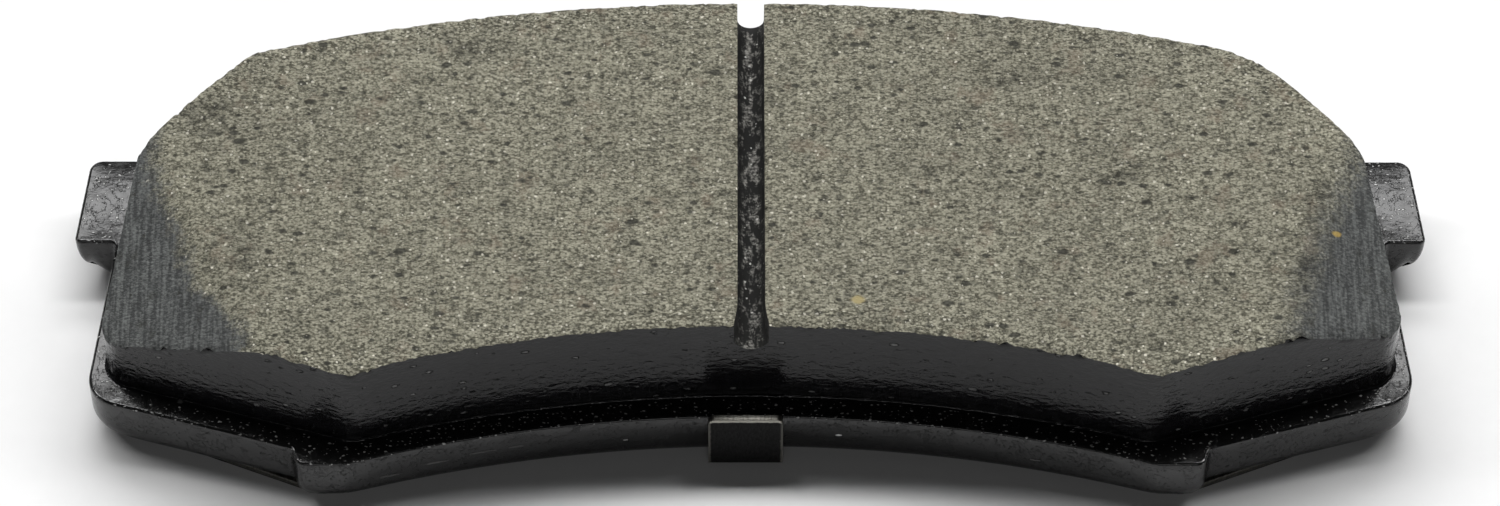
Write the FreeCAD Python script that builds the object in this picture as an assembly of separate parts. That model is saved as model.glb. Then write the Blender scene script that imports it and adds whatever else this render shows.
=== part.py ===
"""Rear disc brake pad: steel backing plate, moulded lining and layered anti-squeal shim.

Frame, in millimetres: +X along the pad's length, +Y outward along the wheel's radius, +Z from
the piston side to the disc side. The origin is the middle of the pad's bounding box in X and Y,
at the lowest face of the shim, on which the pad lies.
"""
import FreeCAD
import Part
import math
import os

Vector = FreeCAD.Vector

# ---- backing plate ----
PLATE_LENGTH = 116.4            # from ear tip to ear tip
PLATE_HEIGHT = 41.9             # from the feet to the crown of the outer edge
PLATE_THICKNESS = 5.0
PLATE_INNER_RADIUS = 122.5      # curve of the edge that faces the hub
PLATE_OUTER_RADIUS = 172.1      # curve of the edge that faces the rim
INNER_ARC_RISE = 4.84           # crown of the inner edge above the feet
FOOT_HALF_SPAN = 37.95          # outer corner of a foot from the centre line
FOOT_STEP_HEIGHT = 1.66         # step from a foot up to the sloping edge
FOOT_STEP_RUN = 0.55            # how far the step leans outward
SHOULDER_SETBACK = 2.0          # lower end corner of the plate, in from the ear tip
SHOULDER_RISE = 6.75            # that corner above the feet
EAR_LENGTH = 3.65               # how far an ear stands out of the plate's end
EAR_BASE_RISE = 22.95           # lower face of an ear above the feet
EAR_WIDTH = 8.8                 # across an ear, along Y
EAR_TIP_TAPER = 0.9             # how much shorter an ear is at its outer face
EAR_TOP_LENGTH = 10.8           # outer face of an ear, from the tip to the shoulder curve
CROWN_CORNER_SETBACK = 15.2     # where the shoulder curve meets the outer edge, in from the tip
CROWN_CORNER_BULGE = 0.4        # how far the shoulder curve stands proud of a straight line
PLATE_CORNER_RADIUS = 3.0
PLATE_SMALL_RADIUS = 0.8
EAR_TIP_LOW_RADIUS = 0.6        # at the ear's lower face
EAR_TIP_HIGH_RADIUS = 1.2
EAR_ROOT_RADIUS = 0.5
PLATE_EDGE_BREAK = 0.45         # rounding of the blanked edges

# ---- moulding holes that key the lining into the plate ----
ANCHOR_HOLE_RADIUS = 6.0
ANCHOR_HOLE_SPACING = 52.0
ANCHOR_HOLE_RISE = 21.0         # hole centres above the feet

# ---- lining: bond film, underlayer and friction block share one outline ----
LINING_INNER_RADIUS = 120.3
LINING_OUTER_RADIUS = 168.7
LINING_INNER_MARGIN = 2.15      # ledge of bare plate along the inner edge, at the centre
LINING_OUTER_MARGIN = 0.92      # the same along the outer edge
LINING_FOOT_HALF_SPAN = 33.5    # where the inner curve turns into the sloping edge
LINING_LOWER_SETBACK = 3.45     # lower end corner, in from the ear tip
LINING_LOWER_RISE = 8.45        # that corner above the feet
LINING_WAIST_SETBACK = 6.2      # upper end of the straight end face, in from the ear tip
LINING_WAIST_DROP = 10.57       # that end, below the corner where the outer curve begins
LINING_CROWN_SETBACK = 15.6     # where the corner curve meets the outer curve
LINING_CORNER_BULGE = 0.38
LINING_FOOT_CORNER_RADIUS = 4.5
LINING_END_CORNER_RADIUS = 2.6
LINING_WAIST_RADIUS = 1.6
LEFT_CROWN_RADIUS = 2.0
RIGHT_CROWN_RADIUS = 12.0
BOND_FILM_THICKNESS = 0.1
UNDERLAYER_THICKNESS = 2.0
FRICTION_THICKNESS = 8.3

# ---- grinding on the friction block ----
SLOT_WIDTH = 2.3
SLOT_DEPTH = 3.5
CHAMFER_ANGLE = 24.0
LEFT_CHAMFER_WIDTH = 14.35      # along X, at the chamfer's inner end
LEFT_CHAMFER_LEAN = 25.6        # lean of the chamfer's ridge from the Y direction, degrees
RIGHT_CHAMFER_WIDTH = 9.85
RIGHT_CHAMFER_LEAN = 15.2
CHAMFER_FOOT_RISE = 4.7         # the widths hold at this distance above the feet

# ---- shim, from the piston side up ----
OUTER_RUBBER_THICKNESS = 0.12
SHIM_STEEL_THICKNESS = 0.6
DAMPING_THICKNESS = 0.4
ADHESIVE_THICKNESS = 0.08
SHIM_INSET = 1.6                # shim edge inside the plate's edge
SHIM_END_SETBACK = 7.2          # shim's end, in from the ear tip
SHIM_CORNER_RADIUS = 2.5
DAMPING_SETBACK = 1.0           # damping layer and adhesive inside the steel's edge
FRONT_TAB_WIDTH = 6.3
FRONT_TAB_OFFSET = -0.45        # the tab's middle from the centre line
REAR_TAB_WIDTH = 8.0
REAR_TAB_OFFSET = 25.0
TAB_GAP = 0.28                  # clearance between a tab and the plate's edge
TAB_ABOVE_PLATE = 0.8
TAB_BEND_RADIUS = 0.4           # inside radius of the bend
TAB_CORNER_RADIUS = 0.6
TAB_OVERLAP = 3.0               # how far a tab's strip runs back into the sheet

# ---- heights, stacked from the resting face ----
STEEL_Z = OUTER_RUBBER_THICKNESS
DAMPING_Z = STEEL_Z + SHIM_STEEL_THICKNESS
ADHESIVE_Z = DAMPING_Z + DAMPING_THICKNESS
PLATE_Z = ADHESIVE_Z + ADHESIVE_THICKNESS
BOND_Z = PLATE_Z + PLATE_THICKNESS
UNDERLAYER_Z = BOND_Z + BOND_FILM_THICKNESS
FRICTION_Z = UNDERLAYER_Z + UNDERLAYER_THICKNESS
TOP_Z = FRICTION_Z + FRICTION_THICKNESS

# ---- levels across the pad ----
FOOT_Y = -PLATE_HEIGHT / 2
CROWN_Y = PLATE_HEIGHT / 2
PLATE_INNER_CENTRE_Y = FOOT_Y + INNER_ARC_RISE - PLATE_INNER_RADIUS
PLATE_OUTER_CENTRE_Y = CROWN_Y - PLATE_OUTER_RADIUS
LINING_INNER_CENTRE_Y = FOOT_Y + INNER_ARC_RISE + LINING_INNER_MARGIN - LINING_INNER_RADIUS
LINING_OUTER_CENTRE_Y = CROWN_Y - LINING_OUTER_MARGIN - LINING_OUTER_RADIUS
EAR_BASE_Y = FOOT_Y + EAR_BASE_RISE
EAR_TOP_Y = EAR_BASE_Y + EAR_WIDTH

# ---- stations along the pad, from the centre line ----
TIP_X = PLATE_LENGTH / 2
EAR_ROOT_X = TIP_X - EAR_LENGTH
SHOULDER_X = TIP_X - SHOULDER_SETBACK
CROWN_CORNER_X = TIP_X - CROWN_CORNER_SETBACK
LINING_LOWER_X = TIP_X - LINING_LOWER_SETBACK
LINING_WAIST_X = TIP_X - LINING_WAIST_SETBACK
LINING_CROWN_X = TIP_X - LINING_CROWN_SETBACK

NEAR = 0.05                     # tolerance when an edge is looked up by its place
SPARE = 1.0                     # how far a cutting tool runs past what it cuts


def arc_y(centre_y, radius, x):
    """Y of a large arc, centred on the Y axis, at a given X."""
    return centre_y + math.sqrt(radius ** 2 - x ** 2)


def arc_x(centre_y, radius, y):
    """X of a large arc, centred on the Y axis, at a given Y."""
    return math.sqrt(radius ** 2 - (y - centre_y) ** 2)


def on_arc(centre_y, radius, x):
    """Point of such an arc at a given X."""
    return Vector(x, arc_y(centre_y, radius, x), 0)


def bulged(start, end, bulge):
    """Middle point of an arc that stands proud of the line from start to end, on its left side."""
    middle = (start + end) * 0.5
    along = (end - start).normalize()
    return middle + Vector(-along.y, along.x, 0) * bulge


def mirrored(point):
    """The same point on the left half of the pad."""
    return Vector(-point.x, point.y, point.z)


def closed_face(right_half, inner_crown, outer_crown):
    """Face from the right half's stretches, each a list of 2 points, or of 3 for an arc.

    The stretches run from the inner crown to the outer crown. The left half mirrors them.
    """
    left_half = [[mirrored(p) for p in reversed(stretch)] for stretch in reversed(right_half)]
    first = right_half[0]
    last = right_half[-1]
    # each crown arc is drawn whole, from the left half to the right half
    inner = [mirrored(first[-1]), inner_crown, first[-1]]
    outer = [last[0], outer_crown, mirrored(last[0])]
    stretches = [inner] + right_half[1:-1] + [outer] + left_half[1:-1]
    edges = []
    for stretch in stretches:
        if len(stretch) == 3:
            edges.append(Part.Arc(*stretch).toShape())
        else:
            edges.append(Part.LineSegment(*stretch).toShape())
    return Part.Face(Part.Wire(edges))


def upright_edges(solid, corners):
    """The upright edges that stand on the given (x, y) corners."""
    found = []
    for edge in solid.Edges:
        ends = [v.Point for v in edge.Vertexes]
        if len(ends) != 2 or abs(ends[0].z - ends[1].z) < NEAR:
            continue
        for x, y in corners:
            if all(math.hypot(p.x - x, p.y - y) < NEAR for p in ends):
                found.append(edge)
    return found


def round_corners(solid, corners, radius):
    """Rounds the upright edges that stand on the given corners."""
    return solid.makeFillet(radius, upright_edges(solid, corners))


def both_sides(points):
    """(x, y) pairs of the points and of their mirror images."""
    return [(s * p.x, p.y) for p in points for s in (1, -1)]


def plate_points():
    """Corners of the backing plate's right half, in order from the inner edge outward."""
    return {
        "foot_inner": Vector(arc_x(PLATE_INNER_CENTRE_Y, PLATE_INNER_RADIUS, FOOT_Y), FOOT_Y, 0),
        "foot_outer": Vector(FOOT_HALF_SPAN, FOOT_Y, 0),
        "step": Vector(FOOT_HALF_SPAN + FOOT_STEP_RUN, FOOT_Y + FOOT_STEP_HEIGHT, 0),
        "shoulder": Vector(SHOULDER_X, FOOT_Y + SHOULDER_RISE, 0),
        "ear_root": Vector(EAR_ROOT_X, EAR_BASE_Y, 0),
        "ear_tip_low": Vector(TIP_X, EAR_BASE_Y, 0),
        "ear_tip_high": Vector(TIP_X - EAR_TIP_TAPER, EAR_TOP_Y, 0),
        "ear_inner": Vector(TIP_X - EAR_TOP_LENGTH, EAR_TOP_Y, 0),
        "crown_corner": on_arc(PLATE_OUTER_CENTRE_Y, PLATE_OUTER_RADIUS, CROWN_CORNER_X),
    }


def anchor_holes(z, depth):
    """Round posts where the lining is keyed through the plate."""
    posts = []
    for side in (-1, 1):
        place = Vector(side * ANCHOR_HOLE_SPACING / 2, FOOT_Y + ANCHOR_HOLE_RISE, z)
        posts.append(Part.makeCylinder(ANCHOR_HOLE_RADIUS, depth, place))
    return posts


def make_backing_plate():
    """Fine-blanked steel plate with an ear at each end, two feet and two anchor holes."""
    p = plate_points()
    names = list(p)
    inner_crown = Vector(0, FOOT_Y + INNER_ARC_RISE, 0)
    outer_crown = Vector(0, CROWN_Y, 0)
    stretches = [[inner_crown, p["foot_inner"]]]
    for start, end in zip(names[:-2], names[1:-1]):
        stretches.append([p[start], p[end]])
    corner = bulged(p["ear_inner"], p["crown_corner"], -CROWN_CORNER_BULGE)
    stretches.append([p["ear_inner"], corner, p["crown_corner"]])
    stretches.append([p["crown_corner"], outer_crown])
    plate = closed_face(stretches, inner_crown, outer_crown).extrude(Vector(0, 0, PLATE_THICKNESS))
    small = [p["foot_inner"], p["foot_outer"], p["step"]]
    plate = round_corners(plate, both_sides(small), PLATE_SMALL_RADIUS)
    plate = round_corners(plate, both_sides([p["shoulder"], p["crown_corner"]]), PLATE_CORNER_RADIUS)
    plate = round_corners(plate, both_sides([p["ear_tip_low"]]), EAR_TIP_LOW_RADIUS)
    plate = round_corners(plate, both_sides([p["ear_tip_high"]]), EAR_TIP_HIGH_RADIUS)
    plate = round_corners(plate, both_sides([p["ear_root"], p["ear_inner"]]), EAR_ROOT_RADIUS)
    rims = []
    for edge in plate.Edges:
        if max(v.Point.z for v in edge.Vertexes) - min(v.Point.z for v in edge.Vertexes) < NEAR:
            rims.append(edge)
    plate = plate.makeFillet(PLATE_EDGE_BREAK, rims)
    for post in anchor_holes(-SPARE, PLATE_THICKNESS + 2 * SPARE):
        plate = plate.cut(post)
    plate.translate(Vector(0, 0, PLATE_Z))
    return plate


def lining_prism(z, height):
    """Upright block of the lining's outline, with its corners rounded."""
    foot = on_arc(LINING_INNER_CENTRE_Y, LINING_INNER_RADIUS, LINING_FOOT_HALF_SPAN)
    lower = Vector(LINING_LOWER_X, FOOT_Y + LINING_LOWER_RISE, 0)
    crown = on_arc(LINING_OUTER_CENTRE_Y, LINING_OUTER_RADIUS, LINING_CROWN_X)
    waist = Vector(LINING_WAIST_X, crown.y - LINING_WAIST_DROP, 0)
    inner_crown = on_arc(LINING_INNER_CENTRE_Y, LINING_INNER_RADIUS, 0)
    outer_crown = on_arc(LINING_OUTER_CENTRE_Y, LINING_OUTER_RADIUS, 0)
    stretches = [
        [inner_crown, foot],
        [foot, lower],
        [lower, waist],
        [waist, bulged(waist, crown, -LINING_CORNER_BULGE), crown],
        [crown, outer_crown],
    ]
    prism = closed_face(stretches, inner_crown, outer_crown).extrude(Vector(0, 0, height))
    prism = round_corners(prism, both_sides([foot]), LINING_FOOT_CORNER_RADIUS)
    prism = round_corners(prism, both_sides([lower]), LINING_END_CORNER_RADIUS)
    prism = round_corners(prism, both_sides([waist]), LINING_WAIST_RADIUS)
    prism = round_corners(prism, [(-crown.x, crown.y)], LEFT_CROWN_RADIUS)
    prism = round_corners(prism, [(crown.x, crown.y)], RIGHT_CROWN_RADIUS)
    prism.translate(Vector(0, 0, z))
    return prism


def make_bond_film():
    """Cured adhesive between plate and underlayer, open over the anchor holes."""
    film = lining_prism(BOND_Z, BOND_FILM_THICKNESS)
    for post in anchor_holes(BOND_Z - SPARE, BOND_FILM_THICKNESS + 2 * SPARE):
        film = film.cut(post)
    return film


def make_underlayer():
    """Insulating layer under the friction material, with a plug in each anchor hole."""
    layer = lining_prism(UNDERLAYER_Z, UNDERLAYER_THICKNESS)
    plugs = anchor_holes(PLATE_Z, UNDERLAYER_Z - PLATE_Z + UNDERLAYER_THICKNESS / 2)
    return layer.multiFuse(plugs).removeSplitter()


def chamfer_tool(side, width, lean):
    """Wedge that grinds the chamfer off one end of the block. Side is 1 for right, -1 for left."""
    reach = PLATE_LENGTH
    profile = [
        Vector(0, 0, 0),
        Vector(reach, 0, -reach * math.tan(math.radians(CHAMFER_ANGLE))),
        Vector(reach, 0, reach),
        Vector(0, 0, reach),
    ]
    wedge = Part.Face(Part.makePolygon(profile + [profile[0]])).extrude(Vector(0, 2 * reach, 0))
    wedge.translate(Vector(0, -reach, 0))
    wedge.rotate(Vector(0, 0, 0), Vector(0, 0, 1), -lean)
    if side < 0:
        wedge = wedge.mirror(Vector(0, 0, 0), Vector(1, 0, 0))
    foot_x = side * (LINING_LOWER_X - width)
    wedge.translate(Vector(foot_x, FOOT_Y + CHAMFER_FOOT_RISE, TOP_Z))
    return wedge


def slot_tool():
    """Round-bottomed groove across the middle of the friction face."""
    radius = SLOT_WIDTH / 2
    bottom_z = TOP_Z - SLOT_DEPTH + radius
    length = 2 * PLATE_HEIGHT
    corner = Vector(-radius, -PLATE_HEIGHT, bottom_z)
    walls = Part.makeBox(SLOT_WIDTH, length, SLOT_DEPTH + SPARE, corner)
    floor = Part.makeCylinder(radius, length, Vector(0, -PLATE_HEIGHT, bottom_z), Vector(0, 1, 0))
    return walls.fuse(floor)


def make_friction_block():
    """Moulded friction material with its centre slot and an end chamfer on each side."""
    block = lining_prism(FRICTION_Z, FRICTION_THICKNESS)
    block = block.cut(chamfer_tool(-1, LEFT_CHAMFER_WIDTH, LEFT_CHAMFER_LEAN))
    block = block.cut(chamfer_tool(1, RIGHT_CHAMFER_WIDTH, RIGHT_CHAMFER_LEAN))
    return block.cut(slot_tool()).removeSplitter()


def shim_prism(z, height, setback):
    """Flat sheet of the shim's outline, drawn in from it by the setback."""
    inset = SHIM_INSET + setback
    inner_radius = PLATE_INNER_RADIUS + inset
    outer_radius = PLATE_OUTER_RADIUS - inset
    end_x = TIP_X - SHIM_END_SETBACK - setback
    foot_x = FOOT_HALF_SPAN - inset
    p = plate_points()
    slope = (p["shoulder"].y - p["step"].y) / (p["shoulder"].x - p["step"].x)
    rise = inset / math.cos(math.atan(slope))
    corner_y = p["step"].y + slope * (end_x - p["step"].x) + rise
    foot = on_arc(PLATE_INNER_CENTRE_Y, inner_radius, foot_x)
    corner = Vector(end_x, corner_y, 0)
    waist = Vector(end_x, EAR_BASE_Y + EAR_WIDTH / 2 - setback, 0)
    crown = on_arc(PLATE_OUTER_CENTRE_Y, outer_radius, CROWN_CORNER_X - setback)
    inner_crown = on_arc(PLATE_INNER_CENTRE_Y, inner_radius, 0)
    outer_crown = on_arc(PLATE_OUTER_CENTRE_Y, outer_radius, 0)
    stretches = [
        [inner_crown, foot],
        [foot, corner],
        [corner, waist],
        [waist, crown],
        [crown, outer_crown],
    ]
    sheet = closed_face(stretches, inner_crown, outer_crown).extrude(Vector(0, 0, height))
    sheet = round_corners(sheet, both_sides([foot, corner, waist, crown]), SHIM_CORNER_RADIUS)
    sheet.translate(Vector(0, 0, z))
    return sheet


def tab_strip(width, depth_in, depth_out):
    """Bent strip of one shim layer. It lies in from a plate edge at Y = 0 and turns up outside it.

    depth_in and depth_out are the layer's inner and outer faces, counted outward through the
    shim from the steel's inner face.
    """
    upright_y = -TAB_GAP
    level_z = STEEL_Z + SHIM_STEEL_THICKNESS
    top_z = PLATE_Z + PLATE_THICKNESS + TAB_ABOVE_PLATE
    bend_y = upright_y + TAB_BEND_RADIUS
    bend_z = level_z + TAB_BEND_RADIUS
    half = math.sqrt(0.5)
    inner_bend = TAB_BEND_RADIUS + depth_in
    outer_bend = TAB_BEND_RADIUS + depth_out
    back_y = TAB_OVERLAP

    def spot(y, z):
        return Vector(-width / 2, y, z)

    def bend(radius):
        start = spot(bend_y, bend_z - radius)
        middle = spot(bend_y - radius * half, bend_z - radius * half)
        end = spot(bend_y - radius, bend_z)
        return start, middle, end

    inner = bend(inner_bend)
    outer = bend(outer_bend)
    edges = [
        Part.LineSegment(spot(back_y, level_z - depth_in), inner[0]).toShape(),
        Part.Arc(*inner).toShape(),
        Part.LineSegment(inner[2], spot(upright_y - depth_in, top_z)).toShape(),
        Part.LineSegment(
            spot(upright_y - depth_in, top_z), spot(upright_y - depth_out, top_z)
        ).toShape(),
        Part.LineSegment(spot(upright_y - depth_out, top_z), outer[2]).toShape(),
        Part.Arc(*reversed(outer)).toShape(),
        Part.LineSegment(outer[0], spot(back_y, level_z - depth_out)).toShape(),
        Part.LineSegment(
            spot(back_y, level_z - depth_out), spot(back_y, level_z - depth_in)
        ).toShape(),
    ]
    strip = Part.Face(Part.Wire(edges)).extrude(Vector(width, 0, 0))
    corners = []
    for edge in strip.Edges:
        ends = [v.Point for v in edge.Vertexes]
        if all(abs(p.z - top_z) < NEAR for p in ends) and abs(ends[0].x - ends[1].x) < NEAR:
            corners.append(edge)
    return strip.makeFillet(TAB_CORNER_RADIUS, corners)


def shim_tabs(depth_in, depth_out):
    """The front tab and the two rear tabs of one shim layer, in place on the plate's edges."""
    front = tab_strip(FRONT_TAB_WIDTH, depth_in, depth_out)
    front_y = arc_y(PLATE_INNER_CENTRE_Y, PLATE_INNER_RADIUS, FRONT_TAB_OFFSET)
    front.translate(Vector(FRONT_TAB_OFFSET, front_y, 0))
    tabs = [front]
    turn = math.degrees(math.asin(REAR_TAB_OFFSET / PLATE_OUTER_RADIUS))
    for side in (-1, 1):
        rear = tab_strip(REAR_TAB_WIDTH, depth_in, depth_out)
        rear.translate(Vector(0, -PLATE_OUTER_RADIUS, 0))
        rear.rotate(Vector(0, 0, 0), Vector(0, 0, 1), 180 - side * turn)
        rear.translate(Vector(0, PLATE_OUTER_CENTRE_Y, 0))
        tabs.append(rear)
    return tabs


def shim_layer(z, thickness, depth_in):
    """Sheet and tabs of one shim layer, as one piece."""
    sheet = shim_prism(z, thickness, 0)
    tabs = shim_tabs(depth_in, depth_in + thickness)
    return sheet.multiFuse(tabs).removeSplitter()


def make_shim_steel():
    """Spring steel core of the shim, with the tabs that clip over the plate's edges."""
    return shim_layer(STEEL_Z, SHIM_STEEL_THICKNESS, 0)


def make_shim_outer_rubber():
    """Rubber coat on the piston side of the shim and on the outside of its tabs."""
    return shim_layer(0, OUTER_RUBBER_THICKNESS, SHIM_STEEL_THICKNESS)


def make_shim_damping_layer():
    """Damping rubber between the shim's steel and the plate."""
    return shim_prism(DAMPING_Z, DAMPING_THICKNESS, DAMPING_SETBACK)


def make_shim_adhesive():
    """Pressure-sensitive adhesive that holds the shim to the plate."""
    return shim_prism(ADHESIVE_Z, ADHESIVE_THICKNESS, DAMPING_SETBACK)


PIECES = {
    "backing_plate": make_backing_plate,
    "bond_film": make_bond_film,
    "underlayer": make_underlayer,
    "friction_block": make_friction_block,
    "shim_adhesive": make_shim_adhesive,
    "shim_damping_layer": make_shim_damping_layer,
    "shim_steel": make_shim_steel,
    "shim_outer_rubber": make_shim_outer_rubber,
}

os.makedirs("parts", exist_ok=True)
for node, make in PIECES.items():
    piece = make()
    piece.exportStep("parts/" + node + ".step")
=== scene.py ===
"""Looks of a disc brake pad: ground friction block, enamelled plate and clipped shim.

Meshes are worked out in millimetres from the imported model's own outlines, then stored in metres.
"""
import logging
import math
import random
from collections.abc import Iterable
from dataclasses import dataclass, field
from enum import Enum

import bmesh
import bpy
import numpy as np
from mathutils import Matrix, Vector, geometry, kdtree, noise


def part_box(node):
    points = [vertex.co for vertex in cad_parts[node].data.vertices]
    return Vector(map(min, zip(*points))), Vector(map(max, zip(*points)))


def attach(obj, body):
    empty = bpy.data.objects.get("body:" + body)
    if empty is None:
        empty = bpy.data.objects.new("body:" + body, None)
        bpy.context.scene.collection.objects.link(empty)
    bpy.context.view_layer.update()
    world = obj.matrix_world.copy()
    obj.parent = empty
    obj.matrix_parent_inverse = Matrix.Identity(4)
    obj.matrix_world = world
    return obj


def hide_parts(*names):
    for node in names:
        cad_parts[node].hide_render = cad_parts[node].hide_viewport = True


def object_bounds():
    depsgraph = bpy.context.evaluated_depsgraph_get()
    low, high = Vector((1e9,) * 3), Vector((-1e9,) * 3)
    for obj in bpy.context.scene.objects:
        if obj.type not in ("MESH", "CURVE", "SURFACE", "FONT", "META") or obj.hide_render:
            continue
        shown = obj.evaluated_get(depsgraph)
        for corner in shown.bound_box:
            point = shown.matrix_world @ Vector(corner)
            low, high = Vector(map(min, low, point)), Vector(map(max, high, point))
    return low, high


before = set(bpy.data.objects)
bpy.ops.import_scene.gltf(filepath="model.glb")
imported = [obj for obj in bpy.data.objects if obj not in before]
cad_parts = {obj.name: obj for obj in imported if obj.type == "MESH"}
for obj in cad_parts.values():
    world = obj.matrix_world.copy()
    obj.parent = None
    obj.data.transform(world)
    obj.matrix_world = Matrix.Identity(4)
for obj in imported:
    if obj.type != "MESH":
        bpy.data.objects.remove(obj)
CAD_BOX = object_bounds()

LOG = logging.getLogger("brake_pad")
MM = 0.001
BODY = "root"
Colour = tuple[float, float, float]
Socket = bpy.types.NodeSocket

# marks on the plate's front wall: x, z, half width, half height, strength; the four faint dashes from
# x -30.4 to -19.8 are painted reflections of the floor, the rest are handling marks
PLATE_SCUFFS_AND_REFLECTIONS = (
    (7.4, 3.8, 0.35, 0.16, 1.0),
    (-30.4, 3.0, 0.9, 0.14, 0.10),
    (-26.4, 3.6, 1.1, 0.12, 0.12),
    (-22.6, 4.0, 1.3, 0.12, 0.10),
    (-19.8, 4.1, 0.8, 0.10, 0.10),
    (-10.6, 3.4, 0.25, 0.12, 0.5),
    (24.0, 3.2, 0.5, 0.12, 0.15),
)


class Zone(Enum):
    """Finish zones of the lining, in the order of its material slots."""

    GROUND = 0
    ENAMEL = 1
    SLOT = 2


# ---------------------------------------------------------------------------
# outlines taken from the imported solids
# ---------------------------------------------------------------------------


def node_triangles(node: str) -> np.ndarray:
    """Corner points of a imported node's triangles.

    Args:
        node: name of the node.

    Returns:
        Array of shape (n, 3, 3), in millimetres.
    """
    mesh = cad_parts[node].data
    mesh.calc_loop_triangles()
    points = np.zeros(len(mesh.vertices) * 3)
    mesh.vertices.foreach_get("co", points)
    corners = np.zeros(len(mesh.loop_triangles) * 3, int)
    mesh.loop_triangles.foreach_get("vertices", corners)
    return (points.reshape(-1, 3) / MM)[corners.reshape(-1, 3)]


def level_cut(node: str, z: float) -> list[np.ndarray]:
    """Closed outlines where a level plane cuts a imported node.

    Args:
        node: name of the node.
        z: height of the plane, in millimetres.

    Returns:
        The outlines as (n, 2) arrays, the longest first, each anticlockwise.
    """
    links: dict[tuple, set] = {}
    for tri in node_triangles(node):
        above = tri[:, 2] > z
        if above.all() or not above.any():
            continue
        ends = []
        for a, b in ((0, 1), (1, 2), (2, 0)):
            if above[a] != above[b]:
                low, high = sorted((tuple(tri[a]), tuple(tri[b])))
                share = (z - low[2]) / (high[2] - low[2])
                ends.append(tuple(round(low[i] + share * (high[i] - low[i]), 4) for i in (0, 1)))
        if ends[0] != ends[1]:
            links.setdefault(ends[0], set()).add(ends[1])
            links.setdefault(ends[1], set()).add(ends[0])
    loops = []
    while links:
        start = next(iter(links))
        loop = [start]
        here = start
        while links.get(here):
            onward = links[here].pop()
            links[onward].discard(here)
            if not links[here]:
                del links[here]
            here = onward
            if here == start:
                break
            loop.append(here)
        links.pop(here, None)
        loops.append(anticlockwise(without_straight_points(np.array(loop))))
    return sorted(loops, key=loop_length, reverse=True)


def loop_length(loop: np.ndarray) -> float:
    """Length around a closed outline."""
    return float(np.linalg.norm(np.roll(loop, -1, 0) - loop, axis=1).sum())


def anticlockwise(loop: np.ndarray) -> np.ndarray:
    """The same outline, turned round if it runs clockwise.

    Args:
        loop: closed outline.

    Returns:
        The outline, anticlockwise.
    """
    after = np.roll(loop, -1, 0)
    area = (loop[:, 0] * after[:, 1] - after[:, 0] * loop[:, 1]).sum()
    return loop if area > 0 else loop[::-1]


def without_straight_points(loop: np.ndarray, turn: float = 0.004) -> np.ndarray:
    """Drops the points of an outline that lie on a straight run.

    Args:
        loop: closed outline.
        turn: least sine of a turn that is kept.

    Returns:
        The outline with its real corners only.
    """
    before = loop - np.roll(loop, 1, 0)
    after = np.roll(loop, -1, 0) - loop
    cross = before[:, 0] * after[:, 1] - before[:, 1] * after[:, 0]
    size = np.linalg.norm(before, axis=1) * np.linalg.norm(after, axis=1)
    return loop[np.abs(cross) > turn * np.maximum(size, 1e-9)]


def guarded(loop: np.ndarray, ratio: float = 3.0) -> np.ndarray:
    """Adds a point beside each corner on every run much longer than its neighbour.

    The curve through the points then stays straight along the run.

    Args:
        loop: closed outline.
        ratio: how many times longer a run is before it is guarded.

    Returns:
        The outline with its guard points.
    """
    n = len(loop)
    lengths = np.linalg.norm(np.roll(loop, -1, 0) - loop, axis=1)
    points = []
    for i in range(n):
        here, there = loop[i], loop[(i + 1) % n]
        along = (there - here) / max(lengths[i], 1e-9)
        points.append(here)
        first, last = lengths[i - 1], lengths[(i + 1) % n]
        if lengths[i] > ratio * first:
            points.append(here + along * min(1.5 * first, 0.3 * lengths[i]))
        if lengths[i] > ratio * last:
            points.append(there - along * min(1.5 * last, 0.3 * lengths[i]))
    return np.array(points)


def smooth_loop(loop: np.ndarray, spacing: float, least: int = 1) -> np.ndarray:
    """Rounded curve through an outline's points, sampled at an even spacing.

    Args:
        loop: closed outline.
        spacing: distance between samples, in millimetres.
        least: least number of samples on each run.

    Returns:
        The sampled curve.
    """
    points = guarded(loop)
    n = len(points)
    samples = []
    for i in range(n):
        p = [points[(i + k) % n] for k in (-1, 0, 1, 2)]
        knots = [0.0]
        for a, b in zip(p, p[1:]):
            knots.append(knots[-1] + max(np.linalg.norm(b - a), 1e-6) ** 0.5)
        steps = max(least, int(math.ceil(np.linalg.norm(p[2] - p[1]) / spacing)))
        for k in range(steps):
            t = knots[1] + (knots[2] - knots[1]) * k / steps
            samples.append(through_four(p, knots, t))
    return np.array(samples)


def through_four(p: list[np.ndarray], knots: list[float], t: float) -> np.ndarray:
    """Point of the centripetal curve through four points.

    Args:
        p: the four points; the curve runs from the second to the third.
        knots: curve parameter at each point.
        t: curve parameter asked for.

    Returns:
        The point at t.
    """
    def between(a: np.ndarray, b: np.ndarray, u: float, v: float) -> np.ndarray:
        """Straight blend of a and b, with parameters u and v."""
        return ((v - t) * a + (t - u) * b) / (v - u)

    k0, k1, k2, k3 = knots
    a1 = between(p[0], p[1], k0, k1)
    a2 = between(p[1], p[2], k1, k2)
    a3 = between(p[2], p[3], k2, k3)
    b1 = between(a1, a2, k0, k2)
    b2 = between(a2, a3, k1, k3)
    return between(b1, b2, k1, k2)


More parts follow.
